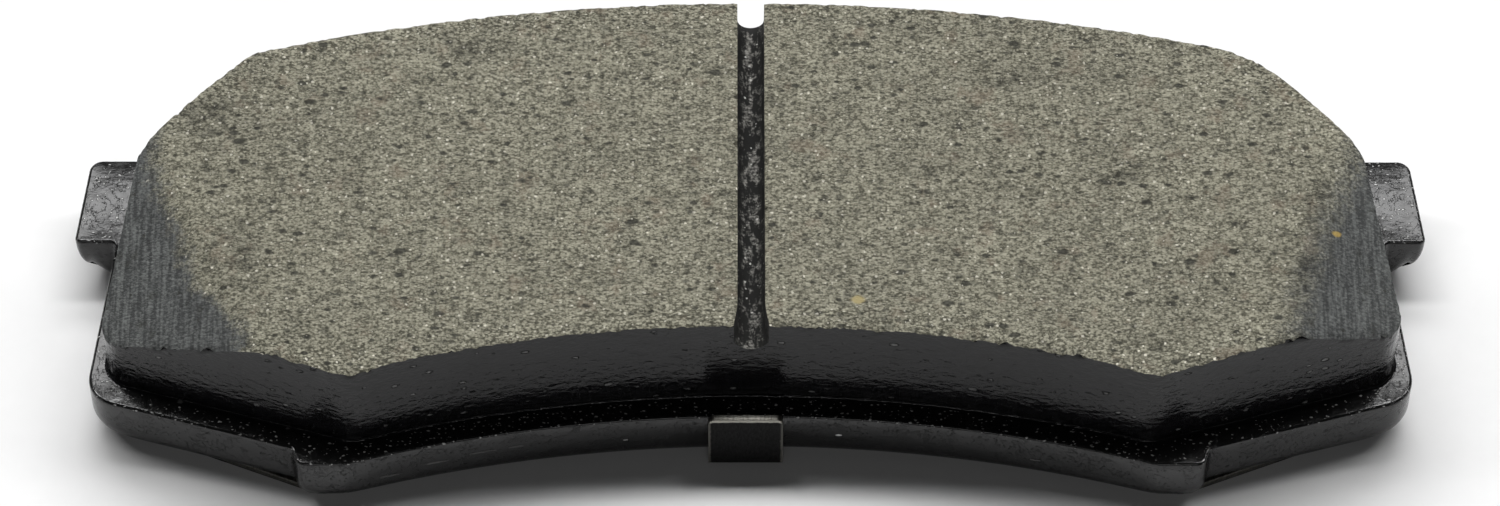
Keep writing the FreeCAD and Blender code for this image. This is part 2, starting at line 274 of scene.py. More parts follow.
def outward_normals(loop: np.ndarray, spread: float = 0.0) -> np.ndarray:
    """Outward directions along an anticlockwise outline.

    Args:
        loop: closed outline with an even spacing.
        spread: length over which the directions are averaged, in millimetres.

    Returns:
        One unit vector per point.
    """
    ahead = np.roll(loop, -1, 0) - np.roll(loop, 1, 0)
    normals = np.stack([ahead[:, 1], -ahead[:, 0]], 1)
    normals /= np.linalg.norm(normals, axis=1)[:, None]
    if not spread:
        return normals
    steps = np.linalg.norm(np.roll(loop, -1, 0) - loop, axis=1)
    stations = np.concatenate([[0], np.cumsum(steps)])
    total = stations[-1]
    stations = stations[:-1]
    weighted = normals * steps[:, None]
    averaged = np.zeros_like(normals)
    for i, here in enumerate(stations):
        away = np.abs(stations - here)
        away = np.minimum(away, total - away)
        weight = np.clip(1 - away / spread, 0, None)
        averaged[i] = (weighted * weight[:, None]).sum(0)
    return averaged / np.linalg.norm(averaged, axis=1)[:, None]


def inside(points: np.ndarray, loop: np.ndarray) -> np.ndarray:
    """Tells which points lie inside a closed outline.

    Args:
        points: (n, 2) array.
        loop: closed outline.

    Returns:
        One truth value per point.
    """
    result = np.zeros(len(points), bool)
    x, y = points[:, 0], points[:, 1]
    for (x0, y0), (x1, y1) in zip(loop, np.roll(loop, -1, 0)):
        if y0 == y1:
            continue
        crossing = (y0 > y) != (y1 > y)
        result ^= crossing & (x < x0 + (x1 - x0) * (y - y0) / (y1 - y0))
    return result


def filled(loops: list[np.ndarray], extra: np.ndarray, ridges: list[np.ndarray]) -> tuple:
    """Triangles that fill an outline, less its holes, through some extra points.

    Args:
        loops: the outer outline, then any holes.
        extra: (n, 2) points to use inside it.
        ridges: open lines that triangle edges must follow.

    Returns:
        The points and the triangles as index triples, anticlockwise.
    """
    points: list[Vector] = []
    edges: list[tuple[int, int]] = []
    for loop in loops:
        first = len(points)
        points += [Vector(p) for p in loop]
        edges += [(first + i, first + (i + 1) % len(loop)) for i in range(len(loop))]
    for line in ridges:
        first = len(points)
        points += [Vector(p) for p in line]
        edges += [(first + i, first + i + 1) for i in range(len(line) - 1)]
    points += [Vector(p) for p in extra]
    found, _, faces, *_ = geometry.delaunay_2d_cdt(points, edges, [], 1, 1e-5)
    spots = np.array([tuple(p) for p in found])
    triangles = np.array([f for f in faces if len(f) == 3])
    middles = spots[triangles].mean(1)
    keep = inside(middles, loops[0])
    for hole in loops[1:]:
        keep &= ~inside(middles, hole)
    return spots, triangles[keep]


def plan_tree(spots: np.ndarray, numbers: Iterable[int]) -> kdtree.KDTree:
    """Search tree over places in the plan.

    Args:
        spots: (n, 2) places.
        numbers: the number that each place goes by.

    Returns:
        The balanced tree.
    """
    tree = kdtree.KDTree(len(spots))
    for number, (x, y) in zip(numbers, spots):
        tree.insert((x, y, 0), int(number))
    tree.balance()
    return tree


def clear_of(spots: np.ndarray, others: np.ndarray, gap: float) -> np.ndarray:
    """Tells which spots are farther than the gap from all the others.

    Args:
        spots: (n, 2) places.
        others: (m, 2) places to stay away from.
        gap: the least distance.

    Returns:
        One truth value per spot.
    """
    tree = plan_tree(others, range(len(others)))
    return np.array([tree.find((x, y, 0))[2] > gap for x, y in spots])


# ---------------------------------------------------------------------------
# mesh building
# ---------------------------------------------------------------------------


def new_object(name: str, content: bpy.types.ID) -> bpy.types.Object:
    """Adds an object to the scene.

    Args:
        name: name of the object.
        content: its mesh, lamp or camera data.

    Returns:
        The new object.
    """
    made = bpy.data.objects.new(name, content)
    bpy.context.scene.collection.objects.link(made)
    return made


@dataclass
class MeshBuilder:
    """Collects points and faces in millimetres, then makes one welded object of them."""

    points: list = field(default_factory=list)
    faces: list = field(default_factory=list)
    zones: list = field(default_factory=list)

    def add(self, points: list, faces: list, zone: int = 0) -> None:
        """Adds a patch of faces, whose indices count from the patch's own points.

        Args:
            points: the patch's points.
            faces: tuples of point numbers.
            zone: material slot of the faces.
        """
        first = len(self.points)
        self.points += [tuple(p) for p in points]
        self.faces += [tuple(int(i) + first for i in face) for face in faces]
        self.zones += [zone] * len(faces)

    def add_grid(self, rows: list, closed: bool, zone: int = 0) -> None:
        """Joins rows of points with quads, from each row to the next.

        Args:
            rows: equally long lists of points.
            closed: whether each row runs round to its own start.
            zone: material slot of the faces.
        """
        width = len(rows[0])
        span = width if closed else width - 1
        faces = []
        for r in range(len(rows) - 1):
            for i in range(span):
                j = (i + 1) % width
                faces.append((r * width + i, r * width + j, (r + 1) * width + j, (r + 1) * width + i))
        self.add([p for row in rows for p in row], faces, zone)

    def add_drum(self, rows: list) -> None:
        """Joins closed rows of points, lowest first, and closes both ends.

        Args:
            rows: equally long lists of points, each one ring.
        """
        self.add_grid(rows, True)
        count = range(len(rows[0]))
        self.add(rows[0], [tuple(count)[::-1]])
        self.add(rows[-1], [tuple(count)])

    def build(self, name: str, weld: float = 0.002) -> bpy.types.Object:
        """Makes the object, with doubled points welded and normals outward.

        Args:
            name: name of the object.
            weld: distance within which points are joined, in millimetres.

        Returns:
            The new object, in metres.
        """
        mesh = bpy.data.meshes.new(name)
        low, high = (np.array(corner) for corner in CAD_BOX)
        places = np.clip(np.array(self.points, float) * MM, low, high)
        mesh.from_pydata(places.tolist(), [], self.faces)
        mesh.polygons.foreach_set("material_index", self.zones)
        work = bmesh.new()
        work.from_mesh(mesh)
        bmesh.ops.remove_doubles(work, verts=work.verts, dist=weld * MM)
        bmesh.ops.dissolve_degenerate(work, edges=work.edges, dist=0.1 * weld * MM)
        bmesh.ops.recalc_face_normals(work, faces=work.faces)
        work.to_mesh(mesh)
        work.free()
        return new_object(name, mesh)


def vertex_array(piece: bpy.types.Object) -> np.ndarray:
    """Vertex places of a piece, in millimetres.

    Args:
        piece: the piece.

    Returns:
        Array of shape (n, 3).
    """
    flat = np.zeros(len(piece.data.vertices) * 3)
    piece.data.vertices.foreach_get("co", flat)
    return flat.reshape(-1, 3) / MM


def store_vertices(piece: bpy.types.Object, points: np.ndarray) -> None:
    """Writes vertex places, in millimetres, back to a piece."""
    piece.data.vertices.foreach_set("co", (points * MM).ravel())
    piece.data.update()


def store_value(piece: bpy.types.Object, name: str, values: np.ndarray) -> None:
    """Stores one number per vertex under a name that shaders can read."""
    layer = piece.data.attributes.new(name, "FLOAT", "POINT")
    layer.data.foreach_set("value", values.astype(np.float32))


def shade(piece: bpy.types.Object, angle: float) -> None:
    """Smooth shading, with hard edges where faces meet at more than the angle in degrees."""
    piece.data.polygons.foreach_set("use_smooth", [True] * len(piece.data.polygons))
    piece.data.set_sharp_from_angle(angle=math.radians(angle))


def adopt(piece: bpy.types.Object, node: str, slot: str, angle: float,
          *materials: bpy.types.Material) -> None:
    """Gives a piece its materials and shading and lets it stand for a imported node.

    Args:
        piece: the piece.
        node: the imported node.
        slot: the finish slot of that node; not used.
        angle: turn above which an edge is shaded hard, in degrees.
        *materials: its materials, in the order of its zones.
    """
    for material in materials:
        piece.data.materials.append(material)
    shade(piece, angle)
    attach(piece, BODY)
    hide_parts(node)
    LOG.info("%s: %d faces, stands for %s", piece.name, len(piece.data.polygons), node)


@dataclass
class Graph:
    """Adds and links shader nodes in one node tree."""

    tree: bpy.types.NodeTree

    def node(self, kind: str, **settings: object) -> bpy.types.Node:
        """Adds a node and sets its properties.

        Args:
            kind: type of the node.
            **settings: its properties, by name.

        Returns:
            The new node.
        """
        made = self.tree.nodes.new(kind)
        for name, value in settings.items():
            setattr(made, name, value)
        return made

    def feed(self, socket: Socket, value: object) -> None:
        """Links a socket from another one, or sets its value.

        Args:
            socket: the input to feed.
            value: a socket, number, vector or colour.
        """
        if isinstance(value, Socket):
            self.tree.links.new(value, socket)
        else:
            socket.default_value = value

    def math(self, operation: str, *values: object) -> Socket:
        """Result of a Math node on the given numbers or sockets.

        Args:
            operation: name of the operation.
            *values: numbers or sockets to work on.

        Returns:
            The result.
        """
        made = self.node("ShaderNodeMath", operation=operation)
        for socket, value in zip(made.inputs, values):
            self.feed(socket, value)
        return made.outputs[0]

    def smooth(self, value: object, low: object, high: object) -> Socket:
        """0 below low, 1 above high and a smooth step between them.

        Args:
            value: what is measured.
            low: where the step starts.
            high: where it ends.

        Returns:
            The step, from 0 to 1.
        """
        made = self.node("ShaderNodeMapRange", interpolation_type="SMOOTHSTEP")
        self.feed(made.inputs["Value"], value)
        self.feed(made.inputs["From Min"], low)
        self.feed(made.inputs["From Max"], high)
        return made.outputs["Result"]

    def spread(self, value: object, low: float, high: float) -> Socket:
        """Maps 0 to 1 onto low to high.

        Args:
            value: a value from 0 to 1.
            low: what 0 becomes.
            high: what 1 becomes.

        Returns:
            The mapped value.
        """
        made = self.node("ShaderNodeMapRange")
        self.feed(made.inputs["Value"], value)
        made.inputs["To Min"].default_value = low
        made.inputs["To Max"].default_value = high
        return made.outputs["Result"]

    def mix(self, factor: object, a: object, b: object) -> Socket:
        """Mixes two colours.

        Args:
            factor: share of the second colour.
            a: the first colour.
            b: the second colour.

        Returns:
            The mixed colour.
        """
        made = self.node("ShaderNodeMix", data_type="RGBA")
        factor_socket, first, second = made.inputs[0], made.inputs[6], made.inputs[7]
        self.feed(factor_socket, factor)
        for socket, colour in ((first, a), (second, b)):
            self.feed(socket, colour if isinstance(colour, Socket) else (*colour, 1.0))
        return made.outputs[2]

    def ramp(self, value: object, stops: list[tuple[float, Colour]]) -> Socket:
        """Colour read from a ramp with the given stops.

        Args:
            value: where to read the ramp.
            stops: place and colour of each stop.

        Returns:
            The colour.
        """
        made = self.node("ShaderNodeValToRGB")
        elements = made.color_ramp.elements
        while len(elements) < len(stops):
            elements.new(0.5)
        for element, (place, colour) in zip(elements, stops):
            element.position = place
            element.color = (*colour, 1.0)
        self.feed(made.inputs[0], value)
        return made.outputs[0]

    def noise(self, vector: object, scale: object, detail: float = 3.0,
              roughness: float = 0.6) -> Socket:
        """Value of a noise texture.

        Args:
            vector: where to read the texture.
            scale: how fine it is, per millimetre.
            detail: number of finer layers.
            roughness: strength of the finer layers.

        Returns:
            A value around 0.5.
        """
        made = self.node("ShaderNodeTexNoise")
        self.feed(made.inputs["Vector"], vector)
        self.feed(made.inputs["Scale"], scale)
        made.inputs["Detail"].default_value = detail
        made.inputs["Roughness"].default_value = roughness
        return made.outputs[0]

    def stretched(self, vector: object, factors: tuple[float, float, float]) -> Socket:
        """A vector with each of its parts multiplied.

        Args:
            vector: the vector.
            factors: factor for X, Y and Z.

        Returns:
            The new vector.
        """
        made = self.node("ShaderNodeVectorMath", operation="MULTIPLY")
        self.feed(made.inputs[0], vector)
        made.inputs[1].default_value = factors
        return made.outputs[0]

    def product(self, first: object, *others: object) -> object:
        """Multiplies several numbers or sockets.

        Args:
            first: first factor.
            *others: the other factors.

        Returns:
            The product.
        """
        for value in others:
            first = self.math("MULTIPLY", first, value)
        return first

    def patches(self, vector: object, scale: object, low: float, high: float,
                detail: float = 3.0, roughness: float = 0.6) -> Socket:
        """Soft-edged patches of a noise texture, from 0 at low to 1 at high."""
        return self.smooth(self.noise(vector, scale, detail, roughness), low, high)

    def axes(self, vector: object) -> tuple[Socket, Socket, Socket]:
        """Splits a vector into X, Y and Z.

        Args:
            vector: the vector.

        Returns:
            Its three parts.
        """
        parts = self.node("ShaderNodeSeparateXYZ")
        self.feed(parts.inputs[0], vector)
        return tuple(parts.outputs)

    def place(self) -> Socket:
        """Place on the object, in millimetres."""
        coordinates = self.node("ShaderNodeTexCoord")
        return self.stretched(coordinates.outputs["Object"], (1 / MM, 1 / MM, 1 / MM))

    def attribute(self, name: str) -> Socket:
        """Number stored on the mesh under a name."""
        return self.node("ShaderNodeAttribute", attribute_name=name).outputs["Fac"]

    def group(self, effect: bpy.types.NodeTree, **values: object) -> bpy.types.Node:
        """Places a shared effect and feeds its inputs, with _ for a space in their names.

        Args:
            effect: the shared effect.
            **values: its inputs, by name.

        Returns:
            The placed node.
        """
        made = self.node("ShaderNodeGroup", node_tree=effect)
        for name, value in values.items():
            self.feed(made.inputs[name.replace("_", " ")], value)
        return made

    def bump(self, height: object, depth: float, strength: float) -> Socket:
        """Normal of a bumped surface whose relief is depth millimetres.

        Args:
            height: relief, from 0 to about 1.
            depth: depth of the relief in millimetres.
            strength: strength of the bump.

        Returns:
            The normal.
        """
        made = self.node("ShaderNodeBump")
        made.inputs["Strength"].default_value = strength
        made.inputs["Distance"].default_value = depth * MM
        self.feed(made.inputs["Height"], height)
        return made.outputs[0]


def new_effect(name: str, inputs: dict[str, str], outputs: dict[str, str]) -> tuple:
    """Starts a shader node group with named sockets.

    Args:
        name: name of the effect.
        inputs: socket type by input name.
        outputs: socket type by output name.

    Returns:
        The group, its graph, its input node and its output node.
    """
    tree = bpy.data.node_groups.new(name, "ShaderNodeTree")
    for direction, sockets in (("INPUT", inputs), ("OUTPUT", outputs)):
        for socket, kind in sockets.items():
            tree.interface.new_socket(name=socket, in_out=direction, socket_type=kind)
    graph = Graph(tree)
    return tree, graph, graph.node("NodeGroupInput"), graph.node("NodeGroupOutput")


VALUE, VECTOR = "NodeSocketFloat", "NodeSocketVector"


def make_speck_effect() -> bpy.types.NodeTree:
    """Scattered specks: some cells of a pattern hold one, each of its own size.

    Returns:
        A group with Vector, Cell, Radius and Share in, and Mask and Tint out.
    """
    tree, g, source, target = new_effect(
        "specks",
        {"Vector": VECTOR, "Cell": VALUE, "Radius": VALUE, "Share": VALUE},
        {"Mask": VALUE, "Tint": VALUE},
    )
    cells = g.node("ShaderNodeTexVoronoi")
    wobble = g.node("ShaderNodeVectorMath", operation="MULTIPLY_ADD")
    ragged = g.node("ShaderNodeTexNoise")
    g.feed(ragged.inputs["Vector"], source.outputs["Vector"])
    ragged.inputs["Scale"].default_value = 4.0
    g.feed(wobble.inputs[0], ragged.outputs["Color"])
    wobble.inputs[1].default_value = (0.25, 0.25, 0.25)
    g.feed(wobble.inputs[2], source.outputs["Vector"])
    g.feed(cells.inputs["Vector"], wobble.outputs[0])
    g.feed(cells.inputs["Scale"], g.math("DIVIDE", 1.0, source.outputs["Cell"]))
    parts = g.node("ShaderNodeSeparateColor")
    g.feed(parts.inputs[0], cells.outputs["Color"])
    away = g.math("MULTIPLY", cells.outputs["Distance"], source.outputs["Cell"])
    size = g.math("MULTIPLY", source.outputs["Radius"], g.spread(parts.outputs[1], 0.5, 1.3))
    spot = g.math("SUBTRACT", 1.0, g.smooth(away, g.math("MULTIPLY", size, 0.55), size))
    chosen = g.math("LESS_THAN", parts.outputs[0], source.outputs["Share"])
    g.feed(target.inputs["Mask"], g.math("MULTIPLY", spot, chosen))
    g.feed(target.inputs["Tint"], parts.outputs[2])
    return tree


def make_fibre_effect() -> bpy.types.NodeTree:
    """Short fibres pressed into a compound, lying mostly along X.

    Returns:
        A group with Vector and Size in, and Value out, from 0 to 1.
    """
    tree, g, source, target = new_effect(
        "fibres", {"Vector": VECTOR, "Size": VALUE}, {"Value": VALUE}
    )
    scale = g.math("DIVIDE", 1.0, source.outputs["Size"])
    drawn = g.stretched(source.outputs["Vector"], (0.85, 1.25, 1.0))
    long_fibres = g.noise(drawn, scale, 3.0, 0.7)
    grains = g.node("ShaderNodeTexVoronoi")
    g.feed(grains.inputs["Vector"], drawn)
    g.feed(grains.inputs["Scale"], g.math("MULTIPLY", scale, 1.15))
    parts = g.node("ShaderNodeSeparateColor")
    g.feed(parts.inputs[0], grains.outputs["Color"])
    gaps = g.smooth(grains.outputs["Distance"], 0.75, 0.25)
    lumps = g.math("MULTIPLY", parts.outputs[0], gaps)
    both = g.math("MULTIPLY_ADD", long_fibres, 0.80, g.math("MULTIPLY", lumps, 0.20))
    g.feed(target.inputs["Value"], g.smooth(both, 0.26, 0.66))
    return tree


def make_peel_effect() -> bpy.types.NodeTree:
    """Relief of a sprayed and baked coat: soft orange peel with a few nibs of dust.

    Returns:
        A group with Vector, Size, Nibs and Spacing in, and Height and Nib out.
    """
    tree, g, source, target = new_effect(
        "peel",
        {"Vector": VECTOR, "Size": VALUE, "Nibs": VALUE, "Spacing": VALUE},
        {"Height": VALUE, "Nib": VALUE},
    )
    scale = g.math("DIVIDE", 1.0, source.outputs["Size"])
    waves = g.noise(source.outputs["Vector"], scale, 3.0, 0.6)
    nibs = g.group(
        EFFECTS["specks"],
        Vector=source.outputs["Vector"],
        Cell=source.outputs["Spacing"],
        Radius=g.math("MULTIPLY", source.outputs["Spacing"], 0.26),
        Share=source.outputs["Nibs"],
    )
    g.feed(target.inputs["Height"], g.math("MULTIPLY_ADD", nibs.outputs["Mask"], 2.0, waves))
    g.feed(target.inputs["Nib"], nibs.outputs["Mask"])
    return tree


def make_hairline_effect() -> bpy.types.NodeTree:
    """Fine wandering lines, such as tears in a compound or cracks in a coat.

    Returns:
        A group with Vector, Scale, Detail, Roughness and Width in, and Mask out.
    """
    tree, g, source, target = new_effect(
        "hairlines",
        {"Vector": VECTOR, "Scale": VALUE, "Detail": VALUE, "Roughness": VALUE, "Width": VALUE},
        {"Mask": VALUE},
    )
    waves = g.node("ShaderNodeTexNoise")
    for name in ("Vector", "Scale", "Detail", "Roughness"):
        g.feed(waves.inputs[name], source.outputs[name])
    from_middle = g.math("ABSOLUTE", g.math("SUBTRACT", waves.outputs[0], 0.5))
    g.feed(target.inputs["Mask"], g.smooth(from_middle, source.outputs["Width"], 0.004))
    return tree


EFFECTS: dict[str, bpy.types.NodeTree] = {}
EFFECTS["specks"] = make_speck_effect()
EFFECTS["fibres"] = make_fibre_effect()
EFFECTS["peel"] = make_peel_effect()
EFFECTS["hairlines"] = make_hairline_effect()


def new_material(name: str) -> tuple[bpy.types.Material, Graph, bpy.types.Node]:
    """Starts a material.

    Args:
        name: name of the material.

    Returns:
        The material, its graph and its Principled shader.
    """
    material = bpy.data.materials.new(name)
    material.use_nodes = True
    return material, Graph(material.node_tree), material.node_tree.nodes["Principled BSDF"]


# ---------------------------------------------------------------------------
# finishes
# ---------------------------------------------------------------------------


@dataclass(frozen=True)
class FrictionFinish:
    """Ground friction compound: olive matrix with fibres, pits darkened with painted shade, pale
    mineral specks brightened as painted glints, and metal specks.
    """

    dark: Colour = (0.064, 0.061, 0.044)
    matrix: Colour = (0.222, 0.213, 0.160)
    light: Colour = (0.340, 0.328, 0.253)
    # near-black painted shade in the pits; torn patches, tear lines and spots on the scorched ends
    # are darkened towards it as well
    pit_shade: Colour = (0.022, 0.022, 0.017)
    # pale mineral grains, brightened as painted glints
    mineral_and_glint: Colour = (0.86, 0.82, 0.70)
    rust: Colour = (0.190, 0.145, 0.105)
    char_dark: Colour = (0.042, 0.044, 0.044)
    char_light: Colour = (0.126, 0.132, 0.128)
    fibre_size: float = 0.27
    relief_depth: float = 0.09
    rust_strength: float = 0.35
    torn_strength: float = 0.75
    pit_shade_strength: float = 0.6
    soot_shade: float = 0.42
    # width of the scorched border at the left-hand end, and what the right-hand end adds
    char_softness: tuple[float, float] = (1.2, 1.1)
    # brass chips: x, y and radius in millimetres, then colour
    chips: tuple = (
        (8.85, -11.4, 0.62, (0.36, 0.300, 0.145)),
        (49.15, -4.3, 0.42, (0.38, 0.270, 0.075)),
    )

    def make(self) -> bpy.types.Material:
        """Makes the material. It reads the mesh values "charred", "soot", "pit" and "inset".

        Returns:
            The material.
        """
        material, g, shader = new_material("ground_friction")
        place = g.place()
        fibres = g.group(EFFECTS["fibres"], Vector=place, Size=self.fibre_size).outputs["Value"]
        near_rim = g.smooth(g.attribute("inset"), 3.2, 0.4)
        from_middle = g.math("SUBTRACT", fibres, 0.5)
        crisp = g.math("MULTIPLY_ADD", from_middle, g.spread(near_rim, 1.0, 1.25), 0.5)
        colour = g.ramp(crisp, [(0.05, self.dark), (0.50, self.matrix), (0.97, self.light)])
        rust = g.patches(place, 0.38, 0.56, 0.68, 5.0)
        colour = g.mix(g.product(rust, self.rust_strength), colour, self.rust)
        torn = g.patches(g.stretched(place, (0.5, 1.25, 1.0)), 1.9, 0.40, 0.31, 4.0, 0.7)
        colour = g.mix(g.product(torn, self.torn_strength), colour, self.pit_shade)
        colour, relief = self.speckled(g, place, colour, near_rim)
        edge = self.char_mask(g, place)
        colour = g.mix(edge, colour, self.charcoal(g, place, fibres))
        colour = self.brassy(g, place, colour)
        # painted shade in the pits pressed into the mesh
        colour = g.mix(g.product(g.attribute("pit_shade"), self.pit_shade_strength), colour, self.pit_shade)
        shaded = g.node("ShaderNodeVectorMath", operation="SCALE")
        g.feed(shaded.inputs[0], colour)
        g.feed(shaded.inputs["Scale"], self.tone(g, place))
        g.feed(shader.inputs["Base Color"], shaded.outputs[0])
        g.feed(shader.inputs["Roughness"], g.spread(fibres, 0.92, 0.66))
        shader.inputs["Specular IOR Level"].default_value = 0.35
        height = g.math("MULTIPLY_ADD", fibres, 0.8, relief)
        g.feed(shader.inputs["Normal"], g.bump(height, self.relief_depth, 0.7))
        return material

    def tone(self, g: Graph, place: Socket) -> Socket:
        """Broad variation of brightness, darker where soot has settled.

        Args:
            g: graph of the material.
            place: place on the pad in millimetres.

        Returns:
            A factor for the colour.
        """
        broad = g.spread(g.noise(place, 0.09, 2.0), 0.86, 1.14)
        patch = g.patches(place, 0.55, 0.40, 0.66)
        soot = g.product(g.attribute("soot"), g.patches(place, 1.1, 0.36, 0.60, 4.0, 0.7))
        return g.product(broad, g.spread(patch, 1.05, 0.92), g.spread(soot, 1.0, self.soot_shade))

    def speckled(self, g: Graph, place: Socket, colour: Socket, near_rim: Socket) -> tuple:
        """Adds pits darkened with painted shade, dark tear lines, and bright specks that are pale
        mineral grains brightened as painted glints.

        Args:
            g: graph of the material.
            place: place in millimetres.
            colour: colour so far.
            near_rim: 1 beside the rim, where more grains are broken open.

        Returns:
            The new colour and a relief value, negative in the pits.
        """
        drawn = g.stretched(place, (0.60, 1.0, 1.0))
        specks = EFFECTS["specks"]
        crowded = g.spread(g.patches(place, 0.16, 0.40, 0.62, 2.0), 0.2, 0.75)
        large = g.group(specks, Vector=drawn, Cell=1.05, Radius=0.31, Share=crowded).outputs["Mask"]
        small = g.group(specks, Vector=drawn, Cell=0.55, Radius=0.19, Share=0.5).outputs["Mask"]
        # painted shade in the pits of the relief
        colour = g.mix(g.product(large, 0.84), colour, self.pit_shade)
        colour = g.mix(g.product(small, 0.60), colour, self.pit_shade)
        tears = g.group(
            EFFECTS["hairlines"], Vector=g.stretched(place, (0.30, 1.2, 1.0)),
            Scale=1.3, Detail=5.0, Roughness=0.7, Width=0.022,
        )
        line = g.product(tears.outputs["Mask"], g.patches(place, 0.28, 0.46, 0.60), 0.62)
        colour = g.mix(line, colour, self.pit_shade)
        # painted glints: pale mineral specks, more of them beside the rim
        share = g.spread(near_rim, 0.46, 0.80)
        glints = g.group(specks, Vector=place, Cell=0.55, Radius=0.13, Share=share)
        shine = g.product(glints.outputs["Mask"], g.spread(glints.outputs["Tint"], 0.1, 1.0))
        colour = g.mix(shine, colour, self.mineral_and_glint)
        pits = g.math("MULTIPLY_ADD", small, 0.6, large)
        return colour, g.product(pits, -1.0)

    def char_mask(self, g: Graph, place: Socket) -> Socket:
        """Finds where the ends are scorched by the chamfer wheel.

        Args:
            g: graph of the material.
            place: place in millimetres.

        Returns:
            1 on the scorched ends; the border is ragged, and softer at the right-hand end.
        """
        left_softness, right_extra = self.char_softness
        at_right = g.math("GREATER_THAN", g.axes(place)[0], 0.0)
        softness = g.math("MULTIPLY_ADD", at_right, right_extra, left_softness)
        drift = g.spread(g.noise(place, 0.8, 6.0, 0.85), -3.4, 3.4)
        reach = g.math("DIVIDE", g.math("ADD", g.attribute("charred"), drift), softness)
        return g.smooth(reach, -1.0, 1.0)

    def charcoal(self, g: Graph, place: Socket, fibres: Socket) -> Socket:
        """Colour of the scorched ends, with wheel marks that run along the chamfer.

        Args:
            g: graph of the material.
            place: place on the pad in millimetres.
            fibres: fibre pattern, from 0 to 1.

        Returns:
            The colour.
        """
        grooves = g.patches(g.stretched(place, (1.0, 0.08, 0.0)), 2.8, 0.30, 0.70)
        value = g.math("MULTIPLY_ADD", grooves, 0.52, g.product(fibres, 0.48))
        colour = g.ramp(value, [(0.28, self.char_dark), (0.80, self.char_light)])
        spots = g.group(EFFECTS["specks"], Vector=place, Cell=1.0, Radius=0.2, Share=0.32)
        return g.mix(g.product(spots.outputs["Mask"], 0.75), colour, self.pit_shade)

    def brassy(self, g: Graph, place: Socket, colour: Socket) -> Socket:
        """Adds the brass chips to a colour.

        Args:
            g: graph of the material.
            place: place on the pad in millimetres.
            colour: colour so far.

        Returns:
            The new colour.
        """
        ragged = g.spread(g.noise(place, 2.6, 3.0), -0.30, 0.30)
        wide, high = 0.85, 1.1
        flat = g.stretched(place, (wide, high, 0.0))
        for x, y, radius, brass in self.chips:
            away = g.node("ShaderNodeVectorMath", operation="DISTANCE")
            g.feed(away.inputs[0], flat)
            away.inputs[1].default_value = (wide * x, high * y, 0.0)
            reach = g.math("MULTIPLY_ADD", ragged, radius, away.outputs["Value"])
            chip = g.smooth(reach, radius, 0.45 * radius)
            colour = g.mix(g.product(chip, 0.9), colour, brass)
        return colour


@dataclass(frozen=True)
class SlotFinish:
    """Cut slot: compound with crushed pale grains, with painted shade on its sides and painted light
    on the middle of its floor.
    """

    dark: Colour = (0.006, 0.006, 0.005)
    light: Colour = (0.34, 0.33, 0.30)
    grain: Colour = (0.75, 0.74, 0.70)

    def make(self) -> bpy.types.Material:
        """Makes the material.

        Returns:
            The material.
        """
        material, g, shader = new_material("cut_slot")
        place = g.place()
        value = g.group(EFFECTS["fibres"], Vector=place, Size=0.30).outputs["Value"]
        clots = g.patches(g.stretched(place, (1.0, 0.45, 1.0)), 1.5, 0.42, 0.62, 3.0, 0.65)
        # painted shade and light: darker towards the slot's sides and beyond them, chips with this
        # finish included, and brighter, with more pale grains, at the middle of its floor
        middle = g.smooth(g.math("ABSOLUTE", g.attribute("across")), 0.95, 0.45)
        value = g.product(value, clots, g.spread(middle, 0.2, 1.0))
        colour = g.ramp(value, [(0.05, self.dark), (0.75, self.light)])
        grains = g.group(EFFECTS["specks"], Vector=place, Cell=0.5, Radius=0.12, Share=0.42)
        # painted light: the pale grains show mostly in the middle of the floor
        shown = g.product(grains.outputs["Mask"], g.spread(middle, 0.2, 0.9))
        colour = g.mix(shown, colour, self.grain)
        g.feed(shader.inputs["Base Color"], colour)
        g.feed(shader.inputs["Roughness"], g.spread(value, 0.85, 0.55))
        g.feed(shader.inputs["Normal"], g.bump(value, 0.10, 0.8))
        return material


